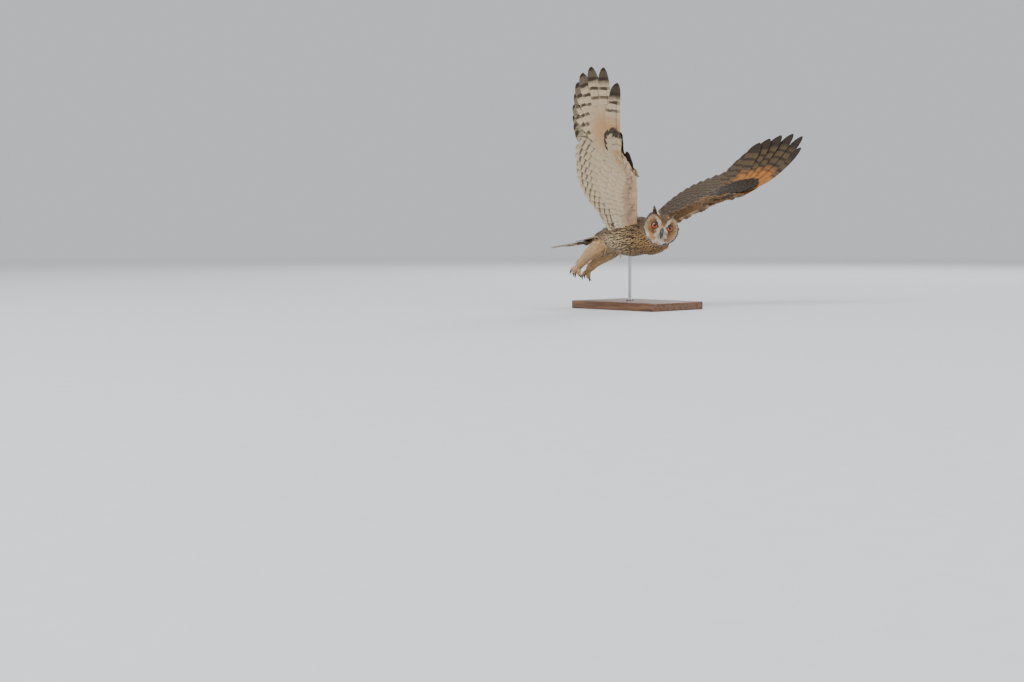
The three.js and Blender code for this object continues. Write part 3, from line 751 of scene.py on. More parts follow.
def big_vane(feather, lift, rows, lead_share, rand, tilt=VANE_TILT, cut=0.0, bars=0.0, dark=NO_DARK_TIP):
    """Points, faces, values and bake map of one large feather, in the body's frame."""
    root, out, normal = feather["root"], feather["dir"], feather["normal"]
    length, width, bend = feather["length"], feather["width"], feather["bend"]
    across = unit(np.cross(normal, out))
    if feather["side"] > 0:
        across = -across                                        # towards the leading edge
    turned = about(out, -tilt * feather["side"])
    edge, face = turned @ across, turned @ normal
    s = np.linspace(0, 1, rows + 1)
    t = 1 - (1 - s) ** 1.5
    grow = 0.14 + 0.86 * smooth(t, 0.02, 0.5)
    end = np.sqrt(np.clip(1 - (np.clip(t - 0.84, 0, 1) / 0.165) ** 2, 0, 1))
    columns = np.array([-1, -0.72, -0.4, -0.07, 0, 0.07, 0.4, 0.72, 1])
    narrow = 1 - cut * smooth(t, 0.62, 0.76)
    half = grow * end * width
    reach = np.where(columns[None] > 0, lead_share, (1 - lead_share)) * columns[None] * half[:, None]
    reach = np.where(columns[None] < 0, reach * narrow[:, None], reach)
    lag = -0.2 * np.abs(reach) * smooth(t, 0.6, 1)[:, None]      # the outer barbs end short of the shaft
    height = length * bend * t ** 2 + np.interp(t, [0, 0.3, 1], [lift[0], lift[1], lift[1]])
    sag = -VANE_CAMBER * width * (columns[None] ** 2) * grow[:, None]
    centre = root + np.outer(length * t, out) + np.outer(height, normal)
    centre = centre - np.outer(length * feather.get("bow", 0) * t ** 2, across)
    points = centre[:, None] + reach[..., None] * edge + lag[..., None] * out + sag[..., None] * face
    body = BIG_VANE_THICK * (1 - 0.55 * np.abs(columns[None])) * (1 - 0.5 * t[:, None])
    ridge = 0.8 * MM * (1 - 0.85 * t[:, None]) * (np.abs(columns[None]) < 0.01)
    up = unit(face - np.outer(2 * bend * t, out))[:, None]
    top = points + up * (body / 2 + ridge * 0.5)[..., None]
    bottom = points - up * (body / 2 + ridge * 0.5)[..., None]
    n, m = rows + 1, len(columns)
    index = np.arange(n * m).reshape(n, m)
    a, b, c, d = index[:-1, :-1], index[1:, :-1], index[1:, 1:], index[:-1, 1:]
    quads = [np.stack([a, b, c, d], -1).reshape(-1, 4), np.stack([d, c, b, a], -1).reshape(-1, 4) + n * m]
    rim = np.concatenate([index[0, :], index[1:, -1], index[-1, -2::-1], index[-2:0:-1, 0]])
    after = np.roll(rim, -1)
    quads.append(np.stack([rim, after, after + n * m, rim + n * m], -1))
    primary = float(feather["kind"] == "primary")
    values = dict(
        Along=np.tile(np.repeat(t, m), 2), Across=np.tile(np.tile(columns, n), 2),
        Tip=np.tile(np.repeat(length * (1 - t) / MM, m), 2), Under=np.repeat([0.0, 1.0], n * m))
    for key, value in (("Primary", primary), ("Rank", primary * feather["number"] / 10), ("Rand", rand),
                       ("BarShare", bars), ("Dark", dark)):
        values[key] = np.full(2 * n * m, value)
    sheet = np.concatenate([np.stack([np.tile(columns, n) * 0.5 + 0.5, np.repeat(t, m)], 1)] * 2)
    return np.concatenate([top.reshape(-1, 3), bottom.reshape(-1, 3)]), np.concatenate(quads), values, sheet


def join_vanes(name, vanes):
    """One piece from many large feathers, each with its own field on the bake map."""
    points, quads, values, maps = [], [], {}, []
    start = 0
    cells = math.ceil(math.sqrt(2 * len(vanes) * 3))
    tall = math.ceil(2 * len(vanes) / cells)
    for i, (vane, faces, marks, sheet) in enumerate(vanes):
        points.append(vane)
        quads.append(faces + start)
        start += len(vane)
        for key, value in marks.items():
            values.setdefault(key, []).append(value)
        cell = 2 * i + marks["Under"].astype(int)
        corner = np.stack([cell % cells, cell // cells], 1)
        maps.append((corner + 0.06 + 0.88 * sheet) / [cells, tall])
    thing = fast_mesh(name, from_body(np.concatenate(points)), np.concatenate(quads))
    for key, value in values.items():
        set_values(thing, key, np.concatenate(value))
    set_bake_map(thing, np.concatenate(maps))
    faces_out(thing)
    shade_by_angle(thing, VANE_CREASE)
    return thing


# Where a small feather's rings stand along it, and their half widths
LEAF = ((0, 0.25, 0.55, 0.8, 0.94, 1.0), (0.3, 0.85, 1.0, 0.9, 0.6, 0.1))
BRISTLE = ((0, 0.4, 0.8, 1.0), (0.6, 1.0, 0.7, 0.1))


def small_vanes(name, roots, out, normal, length, width, lift, values, patches, thick=SMALL_VANE_THICK,
                outline=LEAF, curl=0.16):
    """One piece from many small feathers, all at once, four-sided and closed."""
    stations, half_widths = (np.array(x, float) for x in outline)
    count = len(roots)
    out, normal = unit(out), unit(normal)
    side = unit(np.cross(normal, out))
    length, width, lift = (np.broadcast_to(np.asarray(x, float), (count,)) for x in (length, width, lift))
    t = stations[None, :]
    rise = -0.25 + 1.25 * np.sin(np.minimum(t * 1.25, 1) * math.pi / 2) - 0.35 * smooth(t, 0.6, 1)
    rise = rise * lift[:, None]
    centre = roots[:, None] + out[:, None] * (length[:, None] * t)[..., None]
    centre = centre + normal[:, None] * rise[..., None]
    half = width[:, None] / 2 * half_widths[None]
    slim = thick * (1 - 0.6 * t)
    belly = normal[:, None] * (slim[..., None] * 0.5)
    curve = normal[:, None] * (half * curl)[..., None]
    points = np.stack([
        centre - side[:, None] * half[..., None] - curve, centre + belly,
        centre + side[:, None] * half[..., None] - curve, centre - belly], 2).reshape(-1, 3)
    k = len(stations)
    quads = []
    for s in range(k - 1):
        for j in range(4):
            a, b = s * 4 + j, s * 4 + (j + 1) % 4
            quads.append([a, a + 4, b + 4, b])
    quads += [[0, 1, 2, 3], [4 * k - 1, 4 * k - 2, 4 * k - 3, 4 * k - 4]]
    quads = np.array(quads)[None] + (np.arange(count) * 4 * k)[:, None, None]
    thing = fast_mesh(name, points, quads.reshape(-1, 4))
    set_values(thing, "Along", np.tile(np.repeat(stations, 4), count))
    set_values(thing, "Across", np.tile(np.tile([-1.0, 0, 1, 0], k), count))
    for key, value in values.items():
        if key == "Tint":
            set_colours(thing, key, np.repeat(value, 4 * k, 0))
        else:
            set_values(thing, key, np.repeat(value, 4 * k))
    local = np.stack([np.tile([-1.0, 0, 1, 0], k), np.repeat(stations, 4) * 2 - 1], 1) * 0.0015
    set_bake_map(thing, (patches[:, None] + local[None]).reshape(-1, 2))
    shade_by_angle(thing, VANE_CREASE)
    return thing


def finish_piece(thing, material, nodes=()):
    thing.data.materials.clear()
    thing.data.materials.append(material)
    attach(thing, "root")
    if nodes:
        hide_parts(*nodes)
    return thing


# Skin

SKIN = {}


def wing_core(wing):
    """Rings of the feathered arm and hand, as the solids have them."""
    upper = [(0.12, 0.75), (0.35, 1), (0.68, 0.62)]
    teardrop = [(0, 0), *upper, (1, 0.1), *((x, -y) for x, y in reversed(upper))]
    arm, hand, shoulder, wrist = (wing[k] for k in ("arm", "hand", "shoulder", "wrist"))
    joint = dict(back=mixed(arm["back"], hand["back"], 0.5), up=mixed(arm["up"], hand["up"], 0.5))
    stations = [
        (shoulder - arm["out"] * 16 * MM, arm, 44, 11, 0.8),
        (shoulder + arm["out"] * 26 * MM, arm, 46, 9.5, 1),
        (shoulder + arm["out"] * 0.5 * ARM_LENGTH, arm, 42, 8, 0.9),
        (shoulder + arm["out"] * 0.8 * ARM_LENGTH, arm, 33, 7.5, 0.55), (wrist, joint, 26, 7, 0),
        (wrist + hand["out"] * 0.4 * HAND_LENGTH, hand, 21, 5.6, 0),
        (wrist + hand["out"] * 0.8 * HAND_LENGTH, hand, 15, 4.2, 0),
        (wrist + hand["out"] * (HAND_LENGTH + 8 * MM), hand, 7, 2.2, 0),
    ]
    return [[at + axes["back"] * (x * (chord + share * wing["patagium"]) - 3 - share * wing["patagium"]) * MM
             + axes["up"] * y * deep * MM for x, y in teardrop] for at, axes, chord, deep, share in stations]


def region_of(points):
    """What each point of the skin belongs to, and values that place it there."""
    q = to_body(points)
    f, l, u = q.T
    middle, wide, high = body_section(f)
    outside = (l / (wide + 1 * MM)) ** 2 + ((u - middle) / (high + 1 * MM)) ** 2 > 1.0
    kinds = np.full(len(q), "body", object)
    away = np.linalg.norm(q - HEAD_AT, axis=1)
    h = to_head(points)
    kinds[(away < HEAD_REACH) & (f > 0.05)] = "head"
    free = outside & (kinds != "head")
    kinds[free & (f < -0.052) & (u < 0.0) & ((np.abs(l) > 0.009) | (f < -0.12))] = "leg"
    for name in WINGS:
        wing = wing_frame(name)
        rel = q - wing["shoulder"]
        out = rel @ wing["arm"]["out"]
        kinds[free & (np.sign(l) == wing["side"]) & (out > 0.006) & (f > -0.06) & (u > 0.0)] = "wing_" + name
    kinds[(kinds == "leg") & (f < FOOT[0] + 0.004)] = "toe"
    return kinds, q, h


def sort_of(kinds):
    """The kinds with both wings under one name."""
    return np.where(np.char.startswith(kinds.astype(str), "wing"), "wing", kinds)


def plumage(points, normals):
    """Tint and strength of marking over the skin, the same for skin and feathers."""
    kinds, q, h = region_of(points)
    f = q[:, 0]
    n = normals @ BODY
    rise = smooth(n[:, 2], -0.35, 0.45)[:, None]
    chest = smooth(f, -0.01, 0.07)[:, None]
    under = tone("belly") * (1 - chest) + tone("breast") * chest
    tint = under * (1 - rise) + tone("back") * rise
    mark = 0.8 + 0.2 * chest[:, 0]
    vent = (smooth(-f, 0.07, 0.1) * (1 - rise[:, 0]))[:, None]
    tint = tint * (1 - vent) + tone("vent") * vent
    mark = mark * (1 - 0.8 * vent[:, 0])
    head = kinds == "head"
    if head.any():
        back = smooth(-unit(h[head])[:, 0], 0.0, 0.8)[:, None]
        low = smooth(-unit(h[head])[:, 2], 0.1, 0.7)[:, None]
        crown = tone("crown") * (1 - back) + tone("nape") * back
        tint[head] = crown * (1 - low * 0.6) + tone("breast") * low * 0.6
        mark[head] = 0.85
    legs = (kinds == "leg") | (kinds == "toe")
    tint[legs] = tone("leg")
    mark[legs] = 0.06
    for name in WINGS:
        here = kinds == "wing_" + name
        if not here.any():
            continue
        wing = wing_frame(name)
        rel = q[here] - wing["shoulder"]
        out = rel @ wing["arm"]["out"] / ARM_LENGTH
        lead = 1 - smooth(rel @ wing["arm"]["back"], 0.0, 0.015)
        low, high = (-0.15, 0.25) if name == "right" else (-0.7, -0.4)
        top = smooth(n[here] @ wing["arm"]["up"], low, high)
        above = tone("upper_wing") * 0.8 + tone("patch") * 0.12
        edge = tone("rim_pale") * 0.45 + tone("patch") * 0.65
        below = tone("under_wing")[None] * (1 - 0.85 * lead[:, None]) + edge[None] * 0.85 * lead[:, None]
        front = lead * smooth(out, 0.55, 0.95) * (0.5 if name == "right" else 0.12)
        upper = above[None] * (1 - front[:, None]) + edge[None] * front[:, None]
        tint[here] = below * (1 - top[:, None]) + upper * top[:, None]
        mark[here] = (0.4 - 0.3 * front) * top + 0.1 * (1 - top)
    return tint, np.clip(mark, 0, 1), kinds


def lie_of(points, normals, kinds):
    """The way the feathers lie at each point, along the surface."""
    _, q, h = region_of(points)
    way = np.tile(-BODY[:, 0], (len(points), 1))
    chin = (smooth(q[:, 0], 0.03, 0.115) * smooth(q[:, 2], -0.045, -0.005))[:, None]
    way = way * (1 - chin) + (np.array([-0.85, 0, -0.5]) @ BODY.T) * chin
    head = kinds == "head"
    spread = unit(h) * [0, 0.95, 0.95]
    away = spread + np.array([-0.85, 0, -0.4])
    way[head] = (away @ HEAD.T)[head]
    for side in (-1, 1):
        hip, ankle, foot = (p * [1, side, 1] for p in (HIP, ANKLE, FOOT))
        here = ((kinds == "leg") | (kinds == "toe")) & (np.sign(q[:, 1]) == side)
        lower = smooth(ankle[0] - q[:, 0], -0.01, 0.012)[:, None]
        way[here] = ((unit(ankle - hip) * (1 - lower) + unit(foot - ankle) * lower) @ BODY.T)[here]
    for name in WINGS:
        here = kinds == "wing_" + name
        wing = wing_frame(name)
        reach = (q - wing["shoulder"]) @ wing["arm"]["out"] / ARM_LENGTH
        hand = smooth(reach, 0.85, 1.15)[:, None]
        inner = wing["arm"]["back"] * 0.95 + wing["arm"]["out"] * 0.25
        outer = wing["hand"]["back"] * 0.5 + wing["hand"]["out"] * 0.85
        way[here] = ((inner * (1 - hand) + outer * hand) @ BODY.T)[here]
    way -= normals * np.sum(way * normals, 1)[:, None]
    return unit(way), np.linalg.norm(way, axis=1)


def skin_lookup(thing):
    """Triangles, normals and bake map of the skin as arrays, and a tree to cast on."""
    mesh = thing.data
    points, normals = points_and_normals(mesh)
    corners = np.empty(len(mesh.polygons) * 3, np.int32)
    mesh.loops.foreach_get("vertex_index", corners)
    uv = np.empty(len(mesh.loops) * 2)
    mesh.uv_layers["OFBake"].data.foreach_get("uv", uv)
    tris = corners.reshape(-1, 3)
    return dict(points=points, normals=normals, tris=tris, uv=uv.reshape(-1, 3, 2),
                tree=BVHTree.FromPolygons(points.tolist(), tris.tolist()))


def weights_at(skin, faces, places):
    a, b, c = (skin["points"][skin["tris"][faces, k]] for k in range(3))
    v0, v1, v2 = b - a, c - a, places - a
    d00, d01, d11 = (np.sum(x * y, 1) for x, y in ((v0, v0), (v0, v1), (v1, v1)))
    d20, d21 = np.sum(v2 * v0, 1), np.sum(v2 * v1, 1)
    base = np.maximum(d00 * d11 - d01 * d01, 1e-18)
    v, w = (d11 * d20 - d01 * d21) / base, (d00 * d21 - d01 * d20) / base
    return np.clip(np.stack([1 - v - w, v, w], 1), 0, 1)


def skin_values(skin, faces, places):
    """Smooth normals and places on the bake map where feathers are rooted."""
    share = weights_at(skin, faces, places)
    normal = unit(np.einsum("ij,ijk->ik", share, skin["normals"][skin["tris"][faces]]))
    patch = np.einsum("ij,ijk->ik", share, skin["uv"][faces])
    return normal, patch


def scatter(skin, spacing_of, seed):
    """Roots spread evenly over the skin, none of them nearer to another than its spacing allows."""
    rng = np.random.default_rng(seed)
    a, b, c = (skin["points"][skin["tris"][:, k]] for k in range(3))
    area = np.linalg.norm(np.cross(b - a, c - a), axis=1) / 2
    middle = (a + b + c) / 3
    spacing = spacing_of(middle)
    wanted = np.where(spacing > 0, area / np.maximum(spacing, 1e-4) ** 2 * 3.2, 0)
    faces = np.repeat(np.arange(len(area)), rng.poisson(wanted))
    rng.shuffle(faces)
    r1, r2 = np.sqrt(rng.random(len(faces))), rng.random(len(faces))
    places = a[faces] * (1 - r1)[:, None] + b[faces] * (r1 * (1 - r2))[:, None] + c[faces] * (r1 * r2)[:, None]
    near = spacing[faces]
    cells = np.floor(places / float(near.max())).astype(int)
    steps = list(product((-1, 0, 1), repeat=3))
    grid, kept = {}, []
    for i, (cell, place) in enumerate(zip(map(tuple, cells.tolist()), places)):
        limit = near[i] ** 2 * 0.72
        beside = (j for x, y, z in steps for j in grid.get((cell[0] + x, cell[1] + y, cell[2] + z), ()))
        if not any((place - places[j]) @ (place - places[j]) < limit for j in beside):
            grid.setdefault(cell, []).append(i)
            kept.append(i)
    return places[kept], faces[kept], rng


def eye_place(side):
    """The middle of an eye and the way that it looks."""
    look = unit(HEAD @ np.array([math.cos(EYE_TOE_OUT), side * math.sin(EYE_TOE_OUT), 0.03]))
    return from_head(EYE_AT * [1, side, 1]) - look * EYE_BACK, look


def facing(look):
    return Vector((0, 0, 1)).rotation_difference(Vector(look)).to_euler()


class OWL_OT_skin(bpy.types.Operator):
    """Grow one skin over the body, head, legs, feet and arms"""
    bl_idname = "owl.skin"
    bl_label = "Skin"

    def execute(self, context):
        skin = joined([copied(name, "flesh") for name in FLESH] + self.forms())
        skin.name = skin.data.name = "owl_skin"
        apply_modifier(skin, "REMESH", mode="VOXEL", voxel_size=SKIN_VOXEL)
        apply_modifier(skin, "SMOOTH", factor=0.5, iterations=SKIN_SMOOTHING)
        self.sink(skin.data)
        apply_modifier(skin, "TRIANGULATE")
        skin.data.update()
        edit_all(skin, bpy.ops.uv.smart_project, angle_limit=math.radians(66), island_margin=0.002)
        skin.data.uv_layers[0].name = "OFBake"
        SKIN.update(skin_lookup(skin))
        tint, mark, _ = plumage(SKIN["points"], SKIN["normals"])
        set_colours(skin, "Tint", tint)
        set_values(skin, "Mark", mark)
        shade(skin)
        finish_piece(skin, skin_finish(), FLESH)
        return {"FINISHED"}

    def forms(self):
        """What the skin covers besides the solids: arms, rump, thighs and the rings round the eyes."""
        parts = []
        for name in WINGS:
            rings = np.array(wing_core(wing_frame(name)))
            parts.append(make_mesh("arm", from_body(rings.reshape(-1, 3)), loft_faces(len(rings), 8)))
        angle = 2 * math.pi * np.arange(RUMP_SIDES) / RUMP_SIDES
        rump = []
        for f in np.linspace(RUMP_FROM, RUMP_TO, RUMP_RINGS):
            middle, wide, high = body_section(f)
            rump.append(np.stack([np.full(RUMP_SIDES, f), wide * np.cos(angle),
                                  middle + high * np.sin(angle)], 1))
        parts.append(make_mesh("rump", from_body(np.concatenate(rump)), loft_faces(RUMP_RINGS, RUMP_SIDES)))
        parts.append(primitive("uv_sphere", "thighs", segments=24, ring_count=16, radius=1, scale=THIGHS_HALF,
                               location=from_body(THIGHS_AT), rotation=(-BODY_ROLL, -BODY_PITCH, 0)))
        for side in SIDES.values():
            centre, look = eye_place(side)
            parts.append(primitive("torus", "socket", major_radius=SOCKET_RADII[0],
                                   minor_radius=SOCKET_RADII[1],
                                   major_segments=32, minor_segments=12,
                                   location=centre + look * SOCKET_FORWARD, rotation=facing(look)))
        for part in parts:
            weld(part)
            faces_out(part)
        return parts

    def sink(self, mesh):
        """Draws the skin in to leave room for the coat, and flattens the crown."""
        points, normals = points_and_normals(mesh)
        kinds = region_of(points)[0]
        depth = np.full(len(points), sizes().coat_depth)
        for kind, deep in SKIN_DEPTHS.items():
            depth[sort_of(kinds) == kind] = deep * MM
        points = points - normals * depth[:, None]
        crown = to_head(points)
        raised = (kinds == "head") & (crown[:, 2] > CROWN_FROM)
        crown[raised, 2] = CROWN_FROM + (crown[raised, 2] - CROWN_FROM) * CROWN_SHARE
        points[raised] = from_head(crown)[raised]
        mesh.vertices.foreach_set("co", points.ravel())


class OWL_OT_coat(bpy.types.Operator):
    """Lay the small feathers of the body, head, legs and arms over the skin"""
    bl_idname = "owl.coat"
    bl_label = "Body feathers"

    def execute(self, context):
        s = sizes()
        roots, faces, rng = scatter(SKIN, self.spacing, SEED)
        normal, patch = skin_values(SKIN, faces, roots)
        tint, mark, kinds = plumage(roots, normal)
        way, lying = lie_of(roots, normal, kinds)
        tip = to_head(roots + way * s.body_feather)
        over_face = (kinds == "body") & (tip[:, 0] > 4 * MM) & (np.hypot(tip[:, 1], tip[:, 2]) < 36 * MM)
        keep = ((lying > 0.3) | (kinds == "head")) & ~over_face
        roots, normal, patch, tint, mark, kinds, way = (
            x[keep] for x in (roots, normal, patch, tint, mark, kinds, way))
        way = unit(way + np.cross(normal, way) * rng.normal(0, 0.11, len(roots))[:, None])
        sort, forward = sort_of(kinds), to_body(roots)[:, 0]
        back = smooth((normal @ BODY)[:, 2], 0.0, 0.6)
        length = s.body_feather + (s.back_feather - s.body_feather) * back
        length = np.where(kinds == "body", length * (1 - 0.3 * smooth(forward, 0.08, 0.11)), length)
        for kind, own in (("head", s.head_feather), ("leg", s.leg_feather), ("toe", 0.5 * s.leg_feather),
                          ("wing", s.wing_feather)):
            length[sort == kind] = own
        length *= rng.uniform(0.85, 1.15, len(roots))
        aspect, lift = (np.array([COAT_SHAPES[kind][k] for kind in sort]) for k in (0, 1))
        width, lift = length * aspect, lift * MM * rng.uniform(0.75, 1.2, len(roots))
        rand = rng.random(len(roots))
        tint = tint * rng.uniform(0.86, 1.12, (len(roots), 1))
        material = coat_finish("owl_coat")
        for name, here, slot in (
                ("coat_body", (kinds == "body") & (forward <= 0.01), "plumage"),
                ("coat_breast", (kinds == "body") & (forward > 0.01), "plumage"),
                ("coat_head", kinds == "head", "face"),
                ("coat_legs", (kinds == "leg") | (kinds == "toe"), "legs"),
                ("coat_arms", sort == "wing", "flight_feathers")):
            marks = dict(Tint=tint[here], Mark=mark[here], Rand=rand[here])
            piece = small_vanes(name, roots[here], way[here], normal[here], length[here],
                                width[here], lift[here],
                                marks, patch[here], curl=0.05 if name == "coat_arms" else 0.14)
            finish_piece(piece, material)
        return {"FINISHED"}

    def spacing(self, points):
        """How far apart the coat is rooted, and 0 where the discs or the wing feathers lie instead."""
        kinds, q, h = region_of(points)
        room = np.full(len(points), sizes().body_spacing)
        for kind, apart in COAT_SPACING.items():
            room[kinds == kind] = apart
        room[(kinds == "head") & (np.arccos(np.clip(unit(h)[:, 0], -1, 1)) < FACE_ANGLE)] = 0
        for name in WINGS:
            wing = wing_frame(name)
            here = kinds == "wing_" + name
            rel = q[here] - wing["shoulder"]
            behind = np.where(rel @ wing["arm"]["out"] > ARM_LENGTH,
                              (q[here] - wing["wrist"]) @ wing["hand"]["back"] + 7 * MM,
                               rel @ wing["arm"]["back"])
            room[here] = np.where(behind < ARM_COAT_BACK, ARM_SPACING, 0)
        room[(kinds == "body") & (q[:, 0] > 0.07)] = THROAT_SPACING
        return room


class OWL_OT_wings(bpy.types.Operator):
    """Make the flight feathers and the rows of coverts of both wings"""
    bl_idname = "owl.wings"
    bl_label = "Wings"

    def execute(self, context):
        material = flight_finish("owl_flight")
        for name in WINGS:
            wing = wing_frame(name)
            near = name == "right"
            feathers = [dict(feather, side=wing["side"]) for feather in flight_feathers(wing)]
            rng = np.random.default_rng(SEED + wing["side"])
            vanes = []
            for feather in feathers:
                cut, lead, number = 0.0, 0.42, feather["number"]
                if feather["kind"] == "primary":
                    cut = (0.34 if near else 0.12) * float(smooth(number, 6.5, 9))
                    lead = 0.36 - (0.1 * float(smooth(number, 7, 10)) if near else 0)
                vanes.append(big_vane(feather, (0, 0), 20, lead, rng.random(), cut=cut))
            vanes += self.coverts(wing, feathers, rng) + self.alula(wing, rng)
            piece = join_vanes("flight_" + name, vanes)
            finish_piece(piece, material, ["wing_" + name])
        return {"FINISHED"}

    def coverts(self, wing, feathers, rng):
        """Greater and median coverts, above and beneath."""
        vanes = []
        for row, (share, (low, high), breadth, forward, bars) in enumerate(COVERT_ROWS):
            for feather in feathers:
                primary, above = feather["kind"] == "primary", row < ROWS_ABOVE
                size = share * ((0.86 if above else 0.72) if primary else 1.0)
                back = wing["hand"]["back"] * 0.15 * forward if primary else -wing["arm"]["back"] * forward
                small = dict(feather, root=feather["root"] + back * MM, bend=feather["bend"] * size,
                             length=feather["length"] * size * rng.uniform(0.95, 1.05),
                             width=feather["width"] * breadth * (0.85 if primary else 1))
                dark = NO_DARK_TIP
                if primary and above:
                    dark = 60.0
                elif primary and row == ROWS_ABOVE and feather["number"] >= 5:
                    dark = 17.0
                vanes.append(big_vane(small, (low * MM, high * MM), 8, 0.46, rng.random(),
                                      bars=bars, dark=dark))
        return vanes

    def alula(self, wing, rng):
        """The three dark feathers of the thumb."""
        hand, vanes = wing["hand"], []
        for k, length in enumerate(ALULA_LENGTHS):
            out = unit(hand["out"] + hand["back"] * (0.1 * k - 0.2))
            normal = unit(hand["up"] - out * (hand["up"] @ out))
            root = wing["wrist"] + hand["out"] * (4 + 3 * k) * MM + hand["back"] * (1 + 2 * k) * MM
            feather = dict(kind="primary", number=9, side=wing["side"], root=root, dir=out, normal=normal,
                           length=length * MM, width=12 * MM, bend=0.05)
            lift = ((3 - k) * MM, (6 - k) * MM)
            vanes.append(big_vane(feather, lift, 10, 0.42, rng.random(), bars=0.7, dark=70.0))
        return vanes


class OWL_OT_tail(bpy.types.Operator):
    """Make the tail feathers and the coverts above and below them"""
    bl_idname = "owl.tail"
    bl_label = "Tail"

    def execute(self, context):
        out = np.array([-math.cos(TAIL_DROP) * math.cos(TAIL_YAW), math.cos(TAIL_DROP) * math.sin(TAIL_YAW),
                        -math.sin(TAIL_DROP)])
        up = about(out, TAIL_TWIST) @ unit(np.array([0, 0, 1.0]) - out * out[2])
        across = unit(np.cross(up, out))
        root = np.array([TAIL_FROM - 2 * MM, 0, 11 * MM]) + out * 3 * MM
        rng = np.random.default_rng(SEED)
        vanes = []
        for count, length, width, (low, high), step, spread, steps, bars in TAIL_ROWS:
            for i in range(count):
                place = 2 * i / (count - 1) - 1
                drop = step * abs(i - (count - 1) / 2)
                feather = dict(kind="secondary", number=1, side=-1 if place < 0 else 1,
                               root=root + across * 7 * MM * place,
                                dir=unit(out + across * math.tan(spread) * place),
                               normal=up, length=length * (1 - 0.05 * place ** 2), width=width * MM, bend=-0.02)
                lift = ((low - 0.6 * drop) * MM, (high - drop) * MM)
                vanes.append(big_vane(feather, lift, steps, 0.45, rng.random(), tilt=0.0, bars=bars))
        piece = join_vanes("tail_feathers", vanes)
        finish_piece(piece, flight_finish("owl_tail"), ["tail"])
        return {"FINISHED"}


def on_face(points):
    """Where lines along the head's own x axis first meet the skin from the front, the faces and which lines."""
    found = []
    for i, (y, z) in enumerate(points):
        hit, _, face, _ = SKIN["tree"].ray_cast(Vector(from_head([0.09, y, z])), Vector(-HEAD[:, 0]))
        if hit is not None:
            found.append((tuple(hit), face, i))
    return (np.array(column) for column in zip(*found))


def brow_line(t):
    """How far from the middle a brow runs, in millimetres, at 0 at its foot to 1 at its end."""
    return 1.6 + 11.5 * max(0, t) ** 1.3


def blend(first, second, share):
    return first * (1 - share) + second * share


